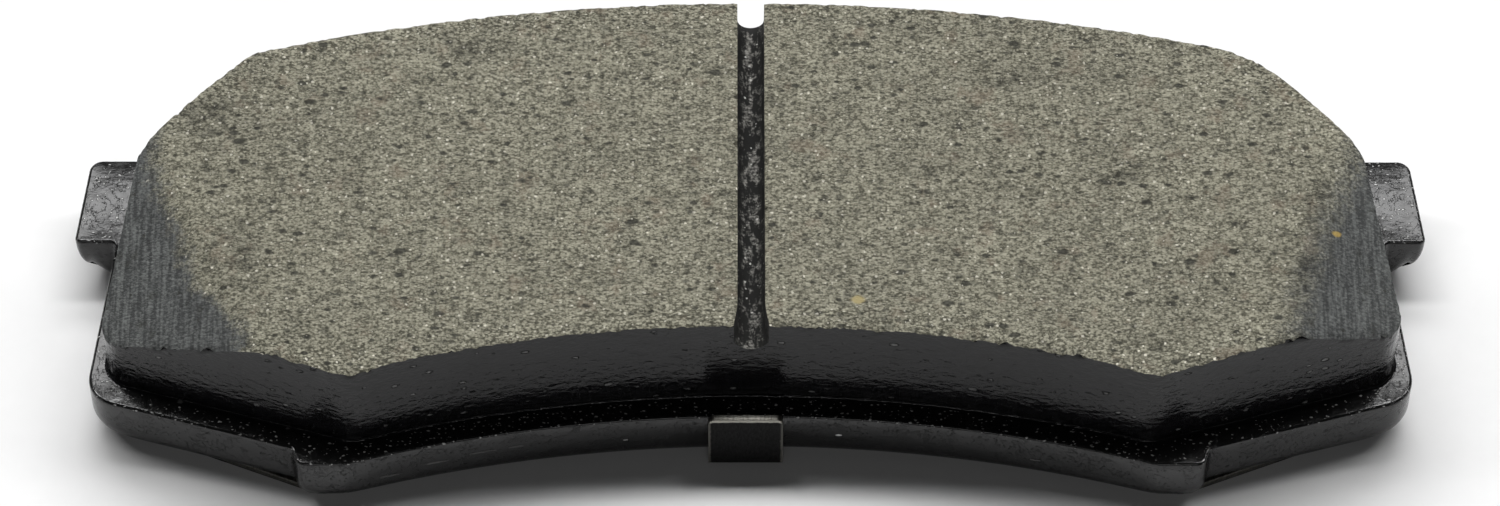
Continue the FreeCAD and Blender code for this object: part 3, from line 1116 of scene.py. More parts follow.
@dataclass(frozen=True)
class EnamelFinish:
    """Gloss black baked enamel over steel or compound."""

    name: str
    colour: Colour = (0.0055, 0.0055, 0.0060)
    # pale dust in the coat's nibs, brightened as a painted glint
    dust_and_glint: Colour = (0.55, 0.55, 0.54)
    roughness: tuple[float, float] = (0.05, 0.12)
    peel: float = 0.65
    nibs: float = 0.22
    nib_spacing: float = 0.8
    nib_dust_glint_strength: float = 0.22
    # height above which the nibs take their pale dust colour and painted glint, in millimetres
    nib_floor: float = 0.0
    depth: float = 0.10
    dents: float = 0.0
    ior: float = 1.34
    # pale colour of the handling marks and of the painted reflections
    scuff_and_reflection: Colour = (0.55, 0.55, 0.54)
    # marks on the front wall, handling marks and painted reflections: x, z, half width and half
    # height in millimetres, then strength
    scuffs_and_reflections: tuple = ()

    def make(self) -> bpy.types.Material:
        """Makes the material.

        Returns:
            The material.
        """
        material, g, shader = new_material(self.name)
        place = g.place()
        drawn = g.stretched(place, (0.6, 1.0, 1.0))
        coat = g.group(
            EFFECTS["peel"], Vector=drawn, Size=self.peel, Nibs=self.nibs, Spacing=self.nib_spacing
        )
        cloud = g.patches(place, 0.8, 0.35, 0.7, 4.0)
        # painted glint: above nib_floor the nibs take the pale dust colour, which also stands for
        # their small reflections
        settled = g.smooth(g.axes(place)[2], self.nib_floor, self.nib_floor + 0.2)
        nib_dust_glint = g.product(coat.outputs["Nib"], settled, self.nib_dust_glint_strength)
        colour = g.mix(nib_dust_glint, self.colour, self.dust_and_glint)
        g.feed(shader.inputs["Base Color"], self.add_scuffs_and_reflections(g, place, colour))
        g.feed(shader.inputs["Roughness"], g.spread(cloud, *self.roughness))
        shader.inputs["IOR"].default_value = self.ior
        height = coat.outputs["Height"]
        if self.dents:
            cracks = g.group(
                EFFECTS["hairlines"], Vector=g.stretched(place, (1.0, 0.55, 1.0)),
                Scale=1.5, Detail=4.0, Roughness=0.6, Width=0.018,
            )
            crack = g.product(cracks.outputs["Mask"], g.patches(place, 0.7, 0.46, 0.56))
            height = g.math("MULTIPLY_ADD", crack, -self.dents, height)
        g.feed(shader.inputs["Normal"], g.bump(height, self.depth, 1.0))
        return material

    def add_scuffs_and_reflections(self, g: Graph, place: Socket, colour: Socket) -> Socket:
        """Adds the handling marks and painted reflections on the front wall to a colour.

        Args:
            g: graph of the material.
            place: place on the pad in millimetres.
            colour: colour so far.

        Returns:
            The new colour.
        """
        along, inward, up = g.axes(place)
        in_front = g.math("LESS_THAN", inward, 0.0)
        ragged = g.spread(g.noise(place, 3.5, 3.0), -0.9, 0.9)
        # pale marks: handling marks, and faint dashes painted as reflections of the floor
        for x, z, half_x, half_z, strength in self.scuffs_and_reflections:
            across = g.math("DIVIDE", g.math("SUBTRACT", along, x), half_x)
            upward = g.math("DIVIDE", g.math("SUBTRACT", up, z), half_z)
            square = g.math("MULTIPLY_ADD", across, across, g.product(upward, upward))
            mark = g.smooth(g.math("ADD", square, ragged), 1.0, 0.4)
            colour = g.mix(g.product(mark, in_front, strength), colour, self.scuff_and_reflection)
        return colour


@dataclass(frozen=True)
class SteelFinish:
    """Cold-rolled steel with blanking marks on its cut edges."""

    dark: Colour = (0.07, 0.07, 0.06)
    light: Colour = (0.30, 0.29, 0.26)

    def make(self) -> bpy.types.Material:
        """Makes the material.

        Returns:
            The material.
        """
        material, g, shader = new_material("bare_steel")
        place = g.place()
        marks = g.noise(g.stretched(place, (3.0, 0.6, 3.0)), 1.6, 4.0, 0.65)
        g.feed(shader.inputs["Base Color"], g.ramp(marks, [(0.3, self.dark), (0.7, self.light)]))
        g.feed(shader.inputs["Roughness"], g.spread(marks, 0.30, 0.55))
        shader.inputs["Metallic"].default_value = 1.0
        g.feed(shader.inputs["Normal"], g.bump(marks, 0.02, 0.5))
        return material


@dataclass(frozen=True)
class CoatFinish:
    """Textured rubber coat, or another matt layer, with a fine cloth-like grain."""

    name: str
    dark: Colour
    light: Colour
    size: float = 0.35
    roughness: float = 0.55
    depth: float = 0.03
    gloss: float = 0.25
    # border of an upright tab, where the coat is rubbed through and lightened as a painted highlight:
    # middle x, middle z, half width, half height, limit of y
    tab: tuple = ()
    corner: float = 0.55
    # strength of the rim's rubbed-through colour and painted highlight on the sides
    side_wear_and_highlight: float = 0.16
    # pale rubbed-through steel, lightened as a painted highlight of the metal's reflection
    bared_steel_and_highlight: Colour = (0.62, 0.60, 0.53)

    def rim_mask(self, g: Graph, place: Socket) -> Socket:
        """Finds where the coat is rubbed through along the rounded border of the tab, lightened there
        as a painted highlight.

        Args:
            g: graph of the material.
            place: place on the pad in millimetres.

        Returns:
            The strength of the rubbed-through rim and its painted highlight, strongest along the top
            edge.
        """
        x, z, half_width, half_height, limit = self.tab
        along, inward, up = g.axes(place)
        across = g.math("ABSOLUTE", g.math("SUBTRACT", along, x))
        upward = g.math("ABSOLUTE", g.math("SUBTRACT", up, z))
        beside = g.math("SUBTRACT", across, half_width - self.corner)
        above = g.math("SUBTRACT", upward, half_height - self.corner)
        out_x, out_z = g.math("MAXIMUM", beside, 0.0), g.math("MAXIMUM", above, 0.0)
        square = g.math("MULTIPLY_ADD", out_x, out_x, g.product(out_z, out_z))
        inner = g.math("MINIMUM", g.math("MAXIMUM", beside, above), 0.0)
        reach = g.math("ADD", g.math("SQRT", square), inner)
        ragged = g.spread(g.noise(place, 3.0, 3.0), -0.10, 0.10)
        rim = g.smooth(g.math("ADD", reach, ragged), self.corner - 0.26, self.corner - 0.10)
        top = g.smooth(up, z + half_height - 0.40, z + half_height - 0.15)
        strength = g.math("MULTIPLY_ADD", top, 0.9 - self.side_wear_and_highlight, self.side_wear_and_highlight)
        return g.product(rim, strength, g.math("LESS_THAN", inward, limit))

    def make(self) -> bpy.types.Material:
        """Makes the material.

        Returns:
            The material.
        """
        material, g, shader = new_material(self.name)
        place = g.place()
        cross = g.noise(g.stretched(place, (1.0, 0.35, 0.35)), 1 / self.size, 3.0, 0.7)
        fine = g.noise(place, 2.4 / self.size, 2.0)
        value = g.math("MULTIPLY_ADD", cross, 0.6, g.product(fine, 0.4))
        colour = g.ramp(value, [(0.35, self.dark), (0.68, self.light)])
        if self.tab:
            # painted highlight: the rubbed-through rim is lightened to stand for the metal's
            # reflection
            colour = g.mix(self.rim_mask(g, place), colour, self.bared_steel_and_highlight)
        g.feed(shader.inputs["Base Color"], colour)
        low, high = self.roughness - 0.12, self.roughness + 0.12
        g.feed(shader.inputs["Roughness"], g.spread(value, high, low))
        shader.inputs["Specular IOR Level"].default_value = self.gloss
        g.feed(shader.inputs["Normal"], g.bump(value, self.depth, 0.6))
        return material


# ---------------------------------------------------------------------------
# sub-assemblies
# ---------------------------------------------------------------------------


@dataclass
class Ridge:
    """Chamfer plane of the friction block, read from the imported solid."""

    normal: np.ndarray
    point: np.ndarray
    top: float

    def height(self, x: np.ndarray, y: np.ndarray) -> np.ndarray:
        """Height of the plane above a place."""
        n, p = self.normal, self.point
        return p[2] - (n[0] * (x - p[0]) + n[1] * (y - p[1])) / n[2]

    def past(self, x: np.ndarray, y: np.ndarray) -> np.ndarray:
        """Level distance from the ridge, positive on the chamfer."""
        slope = math.hypot(self.normal[0], self.normal[1]) / self.normal[2]
        return (self.top - self.height(x, y)) / slope

    def line(self, reach: float, pitch: float) -> np.ndarray:
        """Points along the ridge, in the pad's plan.

        Args:
            reach: length each way from the middle.
            pitch: distance between points.

        Returns:
            Array of shape (n, 2).
        """
        across = self.normal[:2] / np.linalg.norm(self.normal[:2])
        along = np.array([-across[1], across[0]])
        start = self.point[:2] - across * self.past(self.point[0], self.point[1])
        steps = np.arange(-reach, reach + pitch, pitch)
        return start + steps[:, None] * along


@dataclass
class Lining:
    """Friction block and underlayer. Lengths are in millimetres."""

    pitch: float = 0.31
    levels_below_slot: int = 18
    levels_in_slot: int = 7
    slot_steps: int = 12
    pit_count: int = 420
    pit_radius: tuple[float, float] = (0.34, 0.60)
    pit_depth: tuple[float, float] = (0.05, 0.15)
    rim_chips: int = 560
    chip_width: tuple[float, float] = (0.3, 1.3)
    chip_depth: tuple[float, float] = (0.14, 0.55)
    # how far the face sinks for each millimetre that a chip reaches in from the wall
    chip_sink: float = 0.8
    far_rim: float = 0.5
    slot_search: float = 3.0
    slot_chips: int = 70
    bare_chip: float = 0.13
    slot_flare: float = 0.32
    slot_flare_reach: float = 1.3
    # border of the scorched ends: y, then distance from the middle
    char_left: tuple = (
        (-14.7, 42.0), (-12.7, 43.3), (-9.2, 46.4), (-5.0, 47.9), (0.2, 49.7), (3.9, 50.6),
    )
    char_right: tuple = (
        (-14.4, 44.8), (-12.0, 45.4), (-8.6, 46.4), (-5.0, 47.4), (-1.8, 48.8), (0.8, 50.2),
        (4.8, 51.6),
    )
    # soot: x, y, half width and half height of each patch
    soot: tuple = (
        (-42.6, -7.8, 1.3, 3.6), (-46.0, 8.0, 3.5, 2.0), (46.2, -9.0, 1.6, 3.4),
        (47.5, -1.5, 1.2, 3.0), (-24.0, 15.0, 2.5, 1.0), (31.0, 2.0, 2.0, 1.2),
        (22.0, 12.0, 3.0, 1.0),
    )
    foot_wear: float = 0.55
    foot_wear_reach: float = 4.0
    paint_fillet: float = 0.30
    fillet_steps: int = 6
    anchor_pitch: float = 0.5
    # a vertex this close below the face still counts as on it
    face_band: float = 0.02
    wall_band: float = 0.01
    pit_margin: float = 0.3
    block_sharp_angle: float = 38.0
    layer_sharp_angle: float = 50.0
    seed: int = 11

    def __post_init__(self) -> None:
        """Reads the block's outline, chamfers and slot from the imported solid."""
        low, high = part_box("friction_block")
        self.base, self.top = low.z / MM, high.z / MM
        cut = level_cut("friction_block", self.base + 0.5)[0]
        self.outline = smooth_loop(cut, self.pitch)
        self.ridges = self.read_ridges()
        self.slot_radius, self.slot_floor = self.read_slot()
        self.spring = self.slot_floor + self.slot_radius
        self.random = random.Random(self.seed)

    def read_ridges(self) -> list[Ridge]:
        """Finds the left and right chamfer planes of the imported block.

        Returns:
            The left plane, then the right one.
        """
        tris = node_triangles("friction_block")
        cross = np.cross(tris[:, 1] - tris[:, 0], tris[:, 2] - tris[:, 0])
        area = np.linalg.norm(cross, axis=1)
        normal = cross / np.maximum(area, 1e-9)[:, None]
        middle = tris.mean(1)
        ridges = []
        for side in (-1, 1):
            tilted = (normal[:, 2] > 0.8) & (normal[:, 2] < 0.99) & (side * middle[:, 0] > 10)
            best = np.argmax(np.where(tilted, area, 0))
            ridges.append(Ridge(normal[best], middle[best], self.top))
        return ridges

    def read_slot(self) -> tuple[float, float]:
        """Half width of the slot and height of its floor.

        Returns:
            The half width and the height of the floor.
        """
        points = node_triangles("friction_block").reshape(-1, 3)
        cut = (np.abs(points[:, 0]) < self.slot_search) & (points[:, 2] > self.base + 0.5)
        return float(np.abs(points[cut, 0]).max()), float(points[cut, 2].min())

    def surface(self, x: np.ndarray, y: np.ndarray) -> np.ndarray:
        """Height of the ground face and its chamfers, without the slot.

        Args:
            x: X of each place.
            y: Y of each place.

        Returns:
            The heights.
        """
        heights = np.full(np.shape(x), self.top, float)
        for ridge in self.ridges:
            heights = np.minimum(heights, ridge.height(x, y))
        return heights

    def slot_floor_at(self, x: np.ndarray) -> np.ndarray:
        """Height of the round slot floor."""
        return self.spring - np.sqrt(np.clip(self.slot_radius ** 2 - x ** 2, 0, None))

    def split_outline(self) -> tuple[np.ndarray, np.ndarray, np.ndarray, np.ndarray]:
        """Divides the outline at the slot.

        Returns:
            The right run, the slot's outer end, the left run and the slot's inner end. Each run
            starts where the last one stops.
        """
        r = self.slot_radius
        across = r * np.cos(np.linspace(0, math.pi, self.slot_steps + 1))
        far = self.outline[self.outline[:, 1] > 0]
        near = self.outline[self.outline[:, 1] < 0]
        far = far[np.argsort(far[:, 0])]
        near = near[(np.abs(near[:, 0]) < 10)]
        near = near[np.argsort(near[:, 0])]
        outer = np.stack([across, np.interp(across, far[:, 0], far[:, 1])], 1)
        inner = np.stack([-across, np.interp(-across, near[:, 0], near[:, 1])], 1)
        gap = r + 0.4 * self.pitch
        right = self.run(self.outline[:, 0] > gap)
        left = self.run(self.outline[:, 0] < -gap)
        right = np.vstack([inner[-1:], right, outer[:1]])
        left = np.vstack([outer[-1:], left, inner[:1]])
        return right, outer, left, inner

    def run(self, chosen: np.ndarray) -> np.ndarray:
        """The chosen stretch of the outline as one run that starts after its gap.

        Args:
            chosen: one truth value per outline point.

        Returns:
            The run of points.
        """
        starts = np.flatnonzero(chosen & ~np.roll(chosen, 1))
        turned = np.roll(self.outline, -starts[0], 0)
        return turned[np.roll(chosen, -starts[0])]

    def column(self, x: float, y: float, in_slot: bool, on_edge: bool) -> list:
        """Points up the wall at one place of the outline.

        Args:
            x: X of the place.
            y: Y of the place.
            in_slot: whether it lies across the slot.
            on_edge: whether it is a corner of the slot.

        Returns:
            The points, lowest first.
        """
        if in_slot:
            floor = float(self.slot_floor_at(np.array(x)))
            heights = np.linspace(self.base, floor, self.levels_below_slot + 1)
        elif on_edge:
            below = np.linspace(self.base, self.spring, self.levels_below_slot + 1)
            above = np.linspace(self.spring, self.top, self.levels_in_slot + 1)
            heights = np.concatenate([below, above[1:]])
        else:
            count = self.levels_below_slot + self.levels_in_slot + 1
            heights = np.linspace(self.base, float(self.surface(x, y)), count)
        return [(x, y, z) for z in heights]

    def add_walls(self, build: MeshBuilder) -> None:
        """Adds the painted walls: two full-height runs and the low ends below the slot.

        Args:
            build: collects the mesh.
        """
        right, outer, left, inner = self.split_outline()
        for run in (right, left):
            last = len(run) - 1
            rows = [self.column(x, y, False, i in (0, last)) for i, (x, y) in enumerate(run)]
            build.add_grid(rows, False, Zone.ENAMEL.value)
        for end in (outer, inner):
            rows = [self.column(x, y, True, False) for x, y in end]
            build.add_grid(rows, False, Zone.ENAMEL.value)

    def add_slot(self, build: MeshBuilder) -> None:
        """Adds the slot's walls and round floor.

        Args:
            build: collects the mesh.
        """
        _, outer, _, inner = self.split_outline()
        inner = inner[::-1]
        rise = np.linspace(self.top, self.spring, self.levels_in_slot + 1)[:-1]
        steps = int(round((outer[:, 1].mean() - inner[:, 1].mean()) / self.pitch))
        rows = []
        for k in range(steps + 1):
            middle = inner + (outer - inner) * k / steps
            floor = [(x, y, float(self.slot_floor_at(np.array(x)))) for x, y in middle]
            right = [(floor[0][0], floor[0][1], z) for z in rise]
            left = [(floor[-1][0], floor[-1][1], z) for z in rise[::-1]]
            rows.append(right + floor + left)
        build.add_grid(rows, False, Zone.SLOT.value)
        self.slot_stations = np.linspace(0, 1, steps + 1)

    def add_face(self, build: MeshBuilder) -> None:
        """Adds the ground face on each side of the slot, with its chamfer.

        Args:
            build: collects the mesh.
        """
        right, outer, left, inner = self.split_outline()
        halves = ((right, outer[0], inner[-1], 1), (left, outer[-1], inner[0], -1))
        for run, far_end, near_end, side in halves:
            edge = near_end + (far_end - near_end) * self.slot_stations[1:-1, None]
            edge = edge[::-1] if side > 0 else edge
            loop = np.vstack([run, edge])
            ridge = self.ridges[0 if side < 0 else 1].line(40, self.pitch)
            ridge = ridge[inside(ridge, loop)]
            ridge = ridge[clear_of(ridge, loop, 0.7 * self.pitch)]
            field_points = self.hexagonal(loop)
            taken = np.vstack([loop, ridge])
            field_points = field_points[clear_of(field_points, taken, 0.62 * self.pitch)]
            spots, triangles = filled([loop], field_points, [ridge])
            heights = self.surface(spots[:, 0], spots[:, 1])
            build.add(np.column_stack([spots, heights]), triangles, Zone.GROUND.value)

    def hexagonal(self, loop: np.ndarray) -> np.ndarray:
        """Evenly packed points inside an outline.

        Args:
            loop: closed outline.

        Returns:
            Array of shape (n, 2).
        """
        low, high = loop.min(0), loop.max(0)
        rows = np.arange(low[1], high[1], self.pitch * math.sqrt(0.75))
        spots = []
        for k, y in enumerate(rows):
            for x in np.arange(low[0] + (k % 2) * self.pitch / 2, high[0], self.pitch):
                spots.append((x, y))
        spots = np.array(spots)
        return spots[inside(spots, loop)]

    def nearest_outline(self, points: np.ndarray) -> tuple[np.ndarray, np.ndarray]:
        """Nearest outline sample of each point.

        Args:
            points: places, in millimetres.

        Returns:
            The samples' indices and the distances to them.
        """
        tree = plan_tree(self.outline, range(len(self.outline)))
        found = [tree.find((x, y, 0)) for x, y, _ in points]
        return np.array([f[1] for f in found]), np.array([f[2] for f in found])

    def chip_profile(self, length: float, count: int, samples: np.ndarray) -> np.ndarray:
        """Depth of broken edge along a rim.

        Args:
            length: length of the rim.
            count: number of chips.
            samples: stations along the rim.

        Returns:
            The depth at each station.
        """
        depth = 0.05 + 0.035 * np.array([noise.noise(Vector((s * 1.7, 3.1, 0))) for s in samples])
        for _ in range(count):
            where = self.random.uniform(0, length)
            half = self.random.uniform(*self.chip_width) / 2
            deep = self.random.uniform(*self.chip_depth) * self.random.uniform(0.4, 1)
            away = np.abs((samples - where + length / 2) % length - length / 2)
            depth = np.maximum(depth, deep * np.clip(1.6 * (1 - away / half), 0, 1))
        return depth

    def break_rims(self, points: np.ndarray) -> None:
        """Chips the edge between the face and the walls, and both edges of the slot.

        Args:
            points: vertex places, changed in place.
        """
        index, away = self.nearest_outline(points)
        steps = np.linalg.norm(np.roll(self.outline, -1, 0) - self.outline, axis=1)
        stations = np.concatenate([[0], np.cumsum(steps)])[:-1]
        depth = self.chip_profile(steps.sum(), self.rim_chips, stations)
        depth = (depth * np.where(self.outline[:, 1] > 0, self.far_rim, 1.0))[index]
        below = self.surface(points[:, 0], points[:, 1]) - points[:, 2]
        wall = away < 0.4 * self.pitch
        reach = np.where(wall, 0, away) + below
        short = np.clip(depth - reach, 0, None)
        self.broken = np.where(wall, short, 0)
        normals = outward_normals(self.outline)[index]
        clear = np.abs(points[:, 0]) > self.slot_radius + self.face_band
        inward = np.where(wall & clear & (below > self.face_band), short, 0)
        points[:, :2] -= normals * inward[:, None]
        points[:, 2] -= np.where((below <= self.face_band) & clear, short, 0) * self.chip_sink
        span = self.outline[:, 1].max() - self.outline[:, 1].min()
        for side in (-1, 1):
            rim = self.chip_profile(span, self.slot_chips, points[:, 1] % span)
            over = side * points[:, 0] - self.slot_radius
            on_top = (over > -self.wall_band) & (below < self.face_band)
            points[:, 2] -= self.chip_sink * np.clip(rim - over, 0, None) * on_top
            beside = (np.abs(over) <= self.wall_band) & (below >= self.face_band)
            points[:, 0] += side * np.clip(rim - below, 0, None) * beside

    def flare_slot(self, points: np.ndarray) -> None:
        """Widens the slot where the cutting wheel left it, at its inner end.

        Args:
            points: vertex places, changed in place.
        """
        start = self.split_outline()[3][:, 1].min()
        along = np.exp(-(((points[:, 1] - start) / self.slot_flare_reach) ** 2))
        beside = np.abs(points[:, 0]) / self.slot_radius
        across = np.where(beside < 1, beside, np.exp(-(((beside - 1) / 0.7) ** 2)))
        height = np.clip((points[:, 2] - self.slot_floor) / (self.spring - self.slot_floor), 0, 1)
        points[:, 0] += np.sign(points[:, 0]) * self.slot_flare * along * across * height

    def wear_feet(self, points: np.ndarray) -> None:
        """Rounds the face down at both foot corners, where the press tool drags.

        Args:
            points: vertex places, changed in place.
        """
        for side in (-1, 1):
            half = self.outline[side * self.outline[:, 0] > 20]
            foot = half[np.argmin(half[:, 1])]
            away = np.hypot(points[:, 0] - foot[0], points[:, 1] - foot[1])
            share = np.clip((points[:, 2] - self.base) / (self.top - self.base), 0, 1)
            points[:, 2] -= self.foot_wear * np.exp(-(away / self.foot_wear_reach) ** 2) * share ** 3

    def pit_face(self, points: np.ndarray) -> np.ndarray:
        """Presses shallow pits into the ground face.

        Args:
            points: vertex places, changed in place.

        Returns:
            How deep each vertex lies in the pits, from 0 to 1.
        """
        level = self.surface(points[:, 0], points[:, 1]) - points[:, 2]
        clear = np.abs(points[:, 0]) > self.slot_radius + self.pit_margin
        face = np.flatnonzero((level < self.face_band) & clear)
        tree = plan_tree(points[face, :2], face)
        inside_pit = np.zeros(len(points))
        low, high = self.outline.min(0), self.outline.max(0)
        for _ in range(self.pit_count):
            x = self.random.uniform(low[0], high[0])
            y = self.random.uniform(low[1], high[1])
            radius = self.random.uniform(*self.pit_radius)
            deep = self.random.uniform(*self.pit_depth)
            for _, i, away in tree.find_range((x, y, 0), radius):
                share = (1 - (away / radius) ** 2) ** 2
                points[i, 2] -= deep * share
                inside_pit[i] = max(inside_pit[i], share)
        return inside_pit

    def charred(self, x: np.ndarray, y: np.ndarray) -> np.ndarray:
        """Distance past the border of the scorched ends.

        Args:
            x: X of each place.
            y: Y of each place.

        Returns:
            The distances, positive at the ends.
        """
        left = -x - np.interp(y, *np.array(self.char_left).T)
        right = x - np.interp(y, *np.array(self.char_right).T)
        return np.maximum(left, right)

    def sooty(self, x: np.ndarray, y: np.ndarray) -> np.ndarray:
        """How sooty each place is, from 0 to 1.

        Args:
            x: X of each place.
            y: Y of each place.

        Returns:
            One value per place.
        """
        amount = np.zeros(len(x))
        for middle_x, middle_y, half_x, half_y in self.soot:
            away = ((x - middle_x) / half_x) ** 2 + ((y - middle_y) / half_y) ** 2
            amount = np.maximum(amount, np.exp(-away))
        return amount

    def bare_chips(self, piece: bpy.types.Object) -> None:
        """Gives the faces of broken rim chips the raw finish.

        Args:
            piece: the friction block.
        """
        for polygon in piece.data.polygons:
            if polygon.material_index == Zone.ENAMEL.value:
                if min(self.broken[i] for i in polygon.vertices) > self.bare_chip:
                    polygon.material_index = Zone.SLOT.value

    def build_block(self) -> bpy.types.Object:
        """Builds the friction block with its zones, chips, pits and stored values.

        Returns:
            The block.
        """
        build = MeshBuilder()
        self.add_slot(build)
        self.add_walls(build)
        self.add_face(build)
        build.add_grid([[(x, y, self.base) for x, y in self.outline]], True)
        piece = build.build("friction_material")
        points = vertex_array(piece)
        x, y = points[:, 0].copy(), points[:, 1].copy()
        inset = self.nearest_outline(points)[1]
        pits = self.pit_face(points)
        self.break_rims(points)
        self.flare_slot(points)
        self.wear_feet(points)
        self.bare_chips(piece)
        store_vertices(piece, points)
        store_value(piece, "charred", self.charred(x, y))
        store_value(piece, "soot", self.sooty(x, y))
        store_value(piece, "inset", inset)
        store_value(piece, "across", x)
        # the pits' depth, read by the friction finish as the mask of its painted shade
        store_value(piece, "pit_shade", pits)
        return piece

    def build_underlayer(self) -> bpy.types.Object:
        """Builds the underlayer with a fillet of paint at its foot and its anchor plugs.

        Returns:
            The underlayer.
        """
        low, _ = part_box("underlayer")
        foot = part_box("bond_film")[0].z / MM
        normals = outward_normals(self.outline, 1.0)
        build = MeshBuilder()
        rows = []
        fillet = self.paint_fillet
        for k in range(self.fillet_steps + 1):
            angle = math.pi / 2 * k / self.fillet_steps
            out = fillet * (1 - math.sin(angle))
            rows.append(self.ring(normals * out, foot + fillet * (1 - math.cos(angle))))
        for z in np.linspace(foot + fillet, self.base, self.fillet_steps + 1)[1:]:
            rows.append(self.ring(normals * 0, z))
        build.add_drum(rows)
        bottom = low.z / MM
        for loop in level_cut("underlayer", bottom + 1.0):
            plug = smooth_loop(loop, self.anchor_pitch)
            build.add_drum([[(x, y, z) for x, y in plug] for z in (bottom, foot)])
        return build.build("underlayer_compound")

    def ring(self, shift: np.ndarray, z: float) -> list:
        """The outline moved by a shift, at a height."""
        return [(x, y, z) for x, y in self.outline + shift]

    def dress(self, friction: bpy.types.Material, enamel: bpy.types.Material,
              slot: bpy.types.Material) -> None:
        """Builds both pieces and gives them their finishes.

        Args:
            friction: finish of the ground face.
            enamel: finish of the walls.
            slot: finish of the slot and of fresh chips.
        """
        adopt(
            self.build_block(), "friction_block", "friction_compound", self.block_sharp_angle,
            friction, enamel, slot,
        )
        adopt(
            self.build_underlayer(), "underlayer", "underlayer_compound", self.layer_sharp_angle,
            enamel,
        )


@dataclass
class BackingPlate:
    """Fine-blanked backing plate. Lengths are in millimetres."""

    spacing: float = 0.25
    roll_width: float = 0.55
    roll_height: float = 1.1
    ear_roll_width: float = 2.2
    ear_roll_height: float = 4.2
    corner_roll_width: float = 0.75
    corner_roll_height: float = 1.3
    corner_reach: int = 6
    top_radius: float = 0.28
    # the ears' roll starts this far from the middle and is full after the run
    ear_start: float = 55.5
    ear_run: float = 1.5
    anchor_pitch: float = 0.5
    sharp_angle: float = 40.0
    roll_steps: int = 9
    top_steps: int = 4
    wall_steps: int = 6

    def build(self) -> bpy.types.Object:
        """Builds the plate: die roll below, sheared wall, small top radius, anchor holes.

        Returns:
            The plate.
        """
        low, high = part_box("backing_plate")
        bottom, top = low.z / MM, high.z / MM
        loops = level_cut("backing_plate", (bottom + top) / 2)
        outline = smooth_loop(loops[0], self.spacing, 2)
        normals = outward_normals(outline, 1.3)
        past_start = (np.abs(outline[:, 0]) - self.ear_start) / self.ear_run
        ear = np.clip(past_start, 0, 1) * (outline[:, 1] > 0)
        corner = self.corners(outline)
        width = self.roll_width + (self.ear_roll_width - self.roll_width) * ear
        width = np.maximum(width, self.roll_width + self.corner_roll_width * corner)
        height = self.roll_height + (self.ear_roll_height - self.roll_height) * ear
        height = np.maximum(height, self.roll_height + self.corner_roll_height * corner)
        rows = []
        for k in range(self.roll_steps + 1):
            angle = math.pi / 2 * k / self.roll_steps
            inset = width * (1 - math.sin(angle))
            rows.append(self.ring(outline, normals, inset, bottom + height * (1 - math.cos(angle))))
        for k in range(1, self.wall_steps):
            share = k / self.wall_steps
            z = (bottom + height) * (1 - share) + (top - self.top_radius) * share
            rows.append(self.ring(outline, normals, 0.0, z))
        for k in range(self.top_steps + 1):
            angle = math.pi / 2 * k / self.top_steps
            inset = self.top_radius * (1 - math.cos(angle))
            z = top - self.top_radius * (1 - math.sin(angle))
            rows.append(self.ring(outline, normals, inset, z))
        build = MeshBuilder()
        build.add_grid(rows, True)
        holes = [smooth_loop(loop, self.anchor_pitch) for loop in loops[1:]]
        for row, z in ((rows[0], bottom), (rows[-1], top)):
            rim = np.array(row)[:, :2]
            spots, triangles = filled([rim] + holes, np.zeros((0, 2)), [])
            build.add(np.column_stack([spots, np.full(len(spots), z)]), triangles)
        for hole in holes:
            build.add_grid([[(x, y, z) for x, y in hole] for z in (bottom, top)], True)
        return build.build("plate_steel")

    def corners(self, outline: np.ndarray) -> np.ndarray:
        """How much the outline turns outward at each point, from 0 to 1.

        Args:
            outline: closed outline.

        Returns:
            One value per point, smoothed along the outline.
        """
        normals = outward_normals(outline)
        before = np.roll(normals, self.corner_reach, 0)
        after = np.roll(normals, -self.corner_reach, 0)
        turn = np.clip(before[:, 0] * after[:, 1] - before[:, 1] * after[:, 0], 0, 1)
        reach = range(-self.corner_reach, self.corner_reach + 1)
        return sum(np.roll(turn, k) for k in reach) / len(reach)

    def ring(self, outline: np.ndarray, normals: np.ndarray, inset: object, z: object) -> list:
        """The outline drawn in by an inset, at a height."""
        spots = outline - normals * np.broadcast_to(inset, len(outline))[:, None]
        return np.column_stack([spots, np.broadcast_to(z, len(outline))]).tolist()

    def dress(self, enamel: bpy.types.Material) -> None:
        """Builds the plate and enamels it."""
        adopt(self.build(), "backing_plate", "painted_steel", self.sharp_angle, enamel)


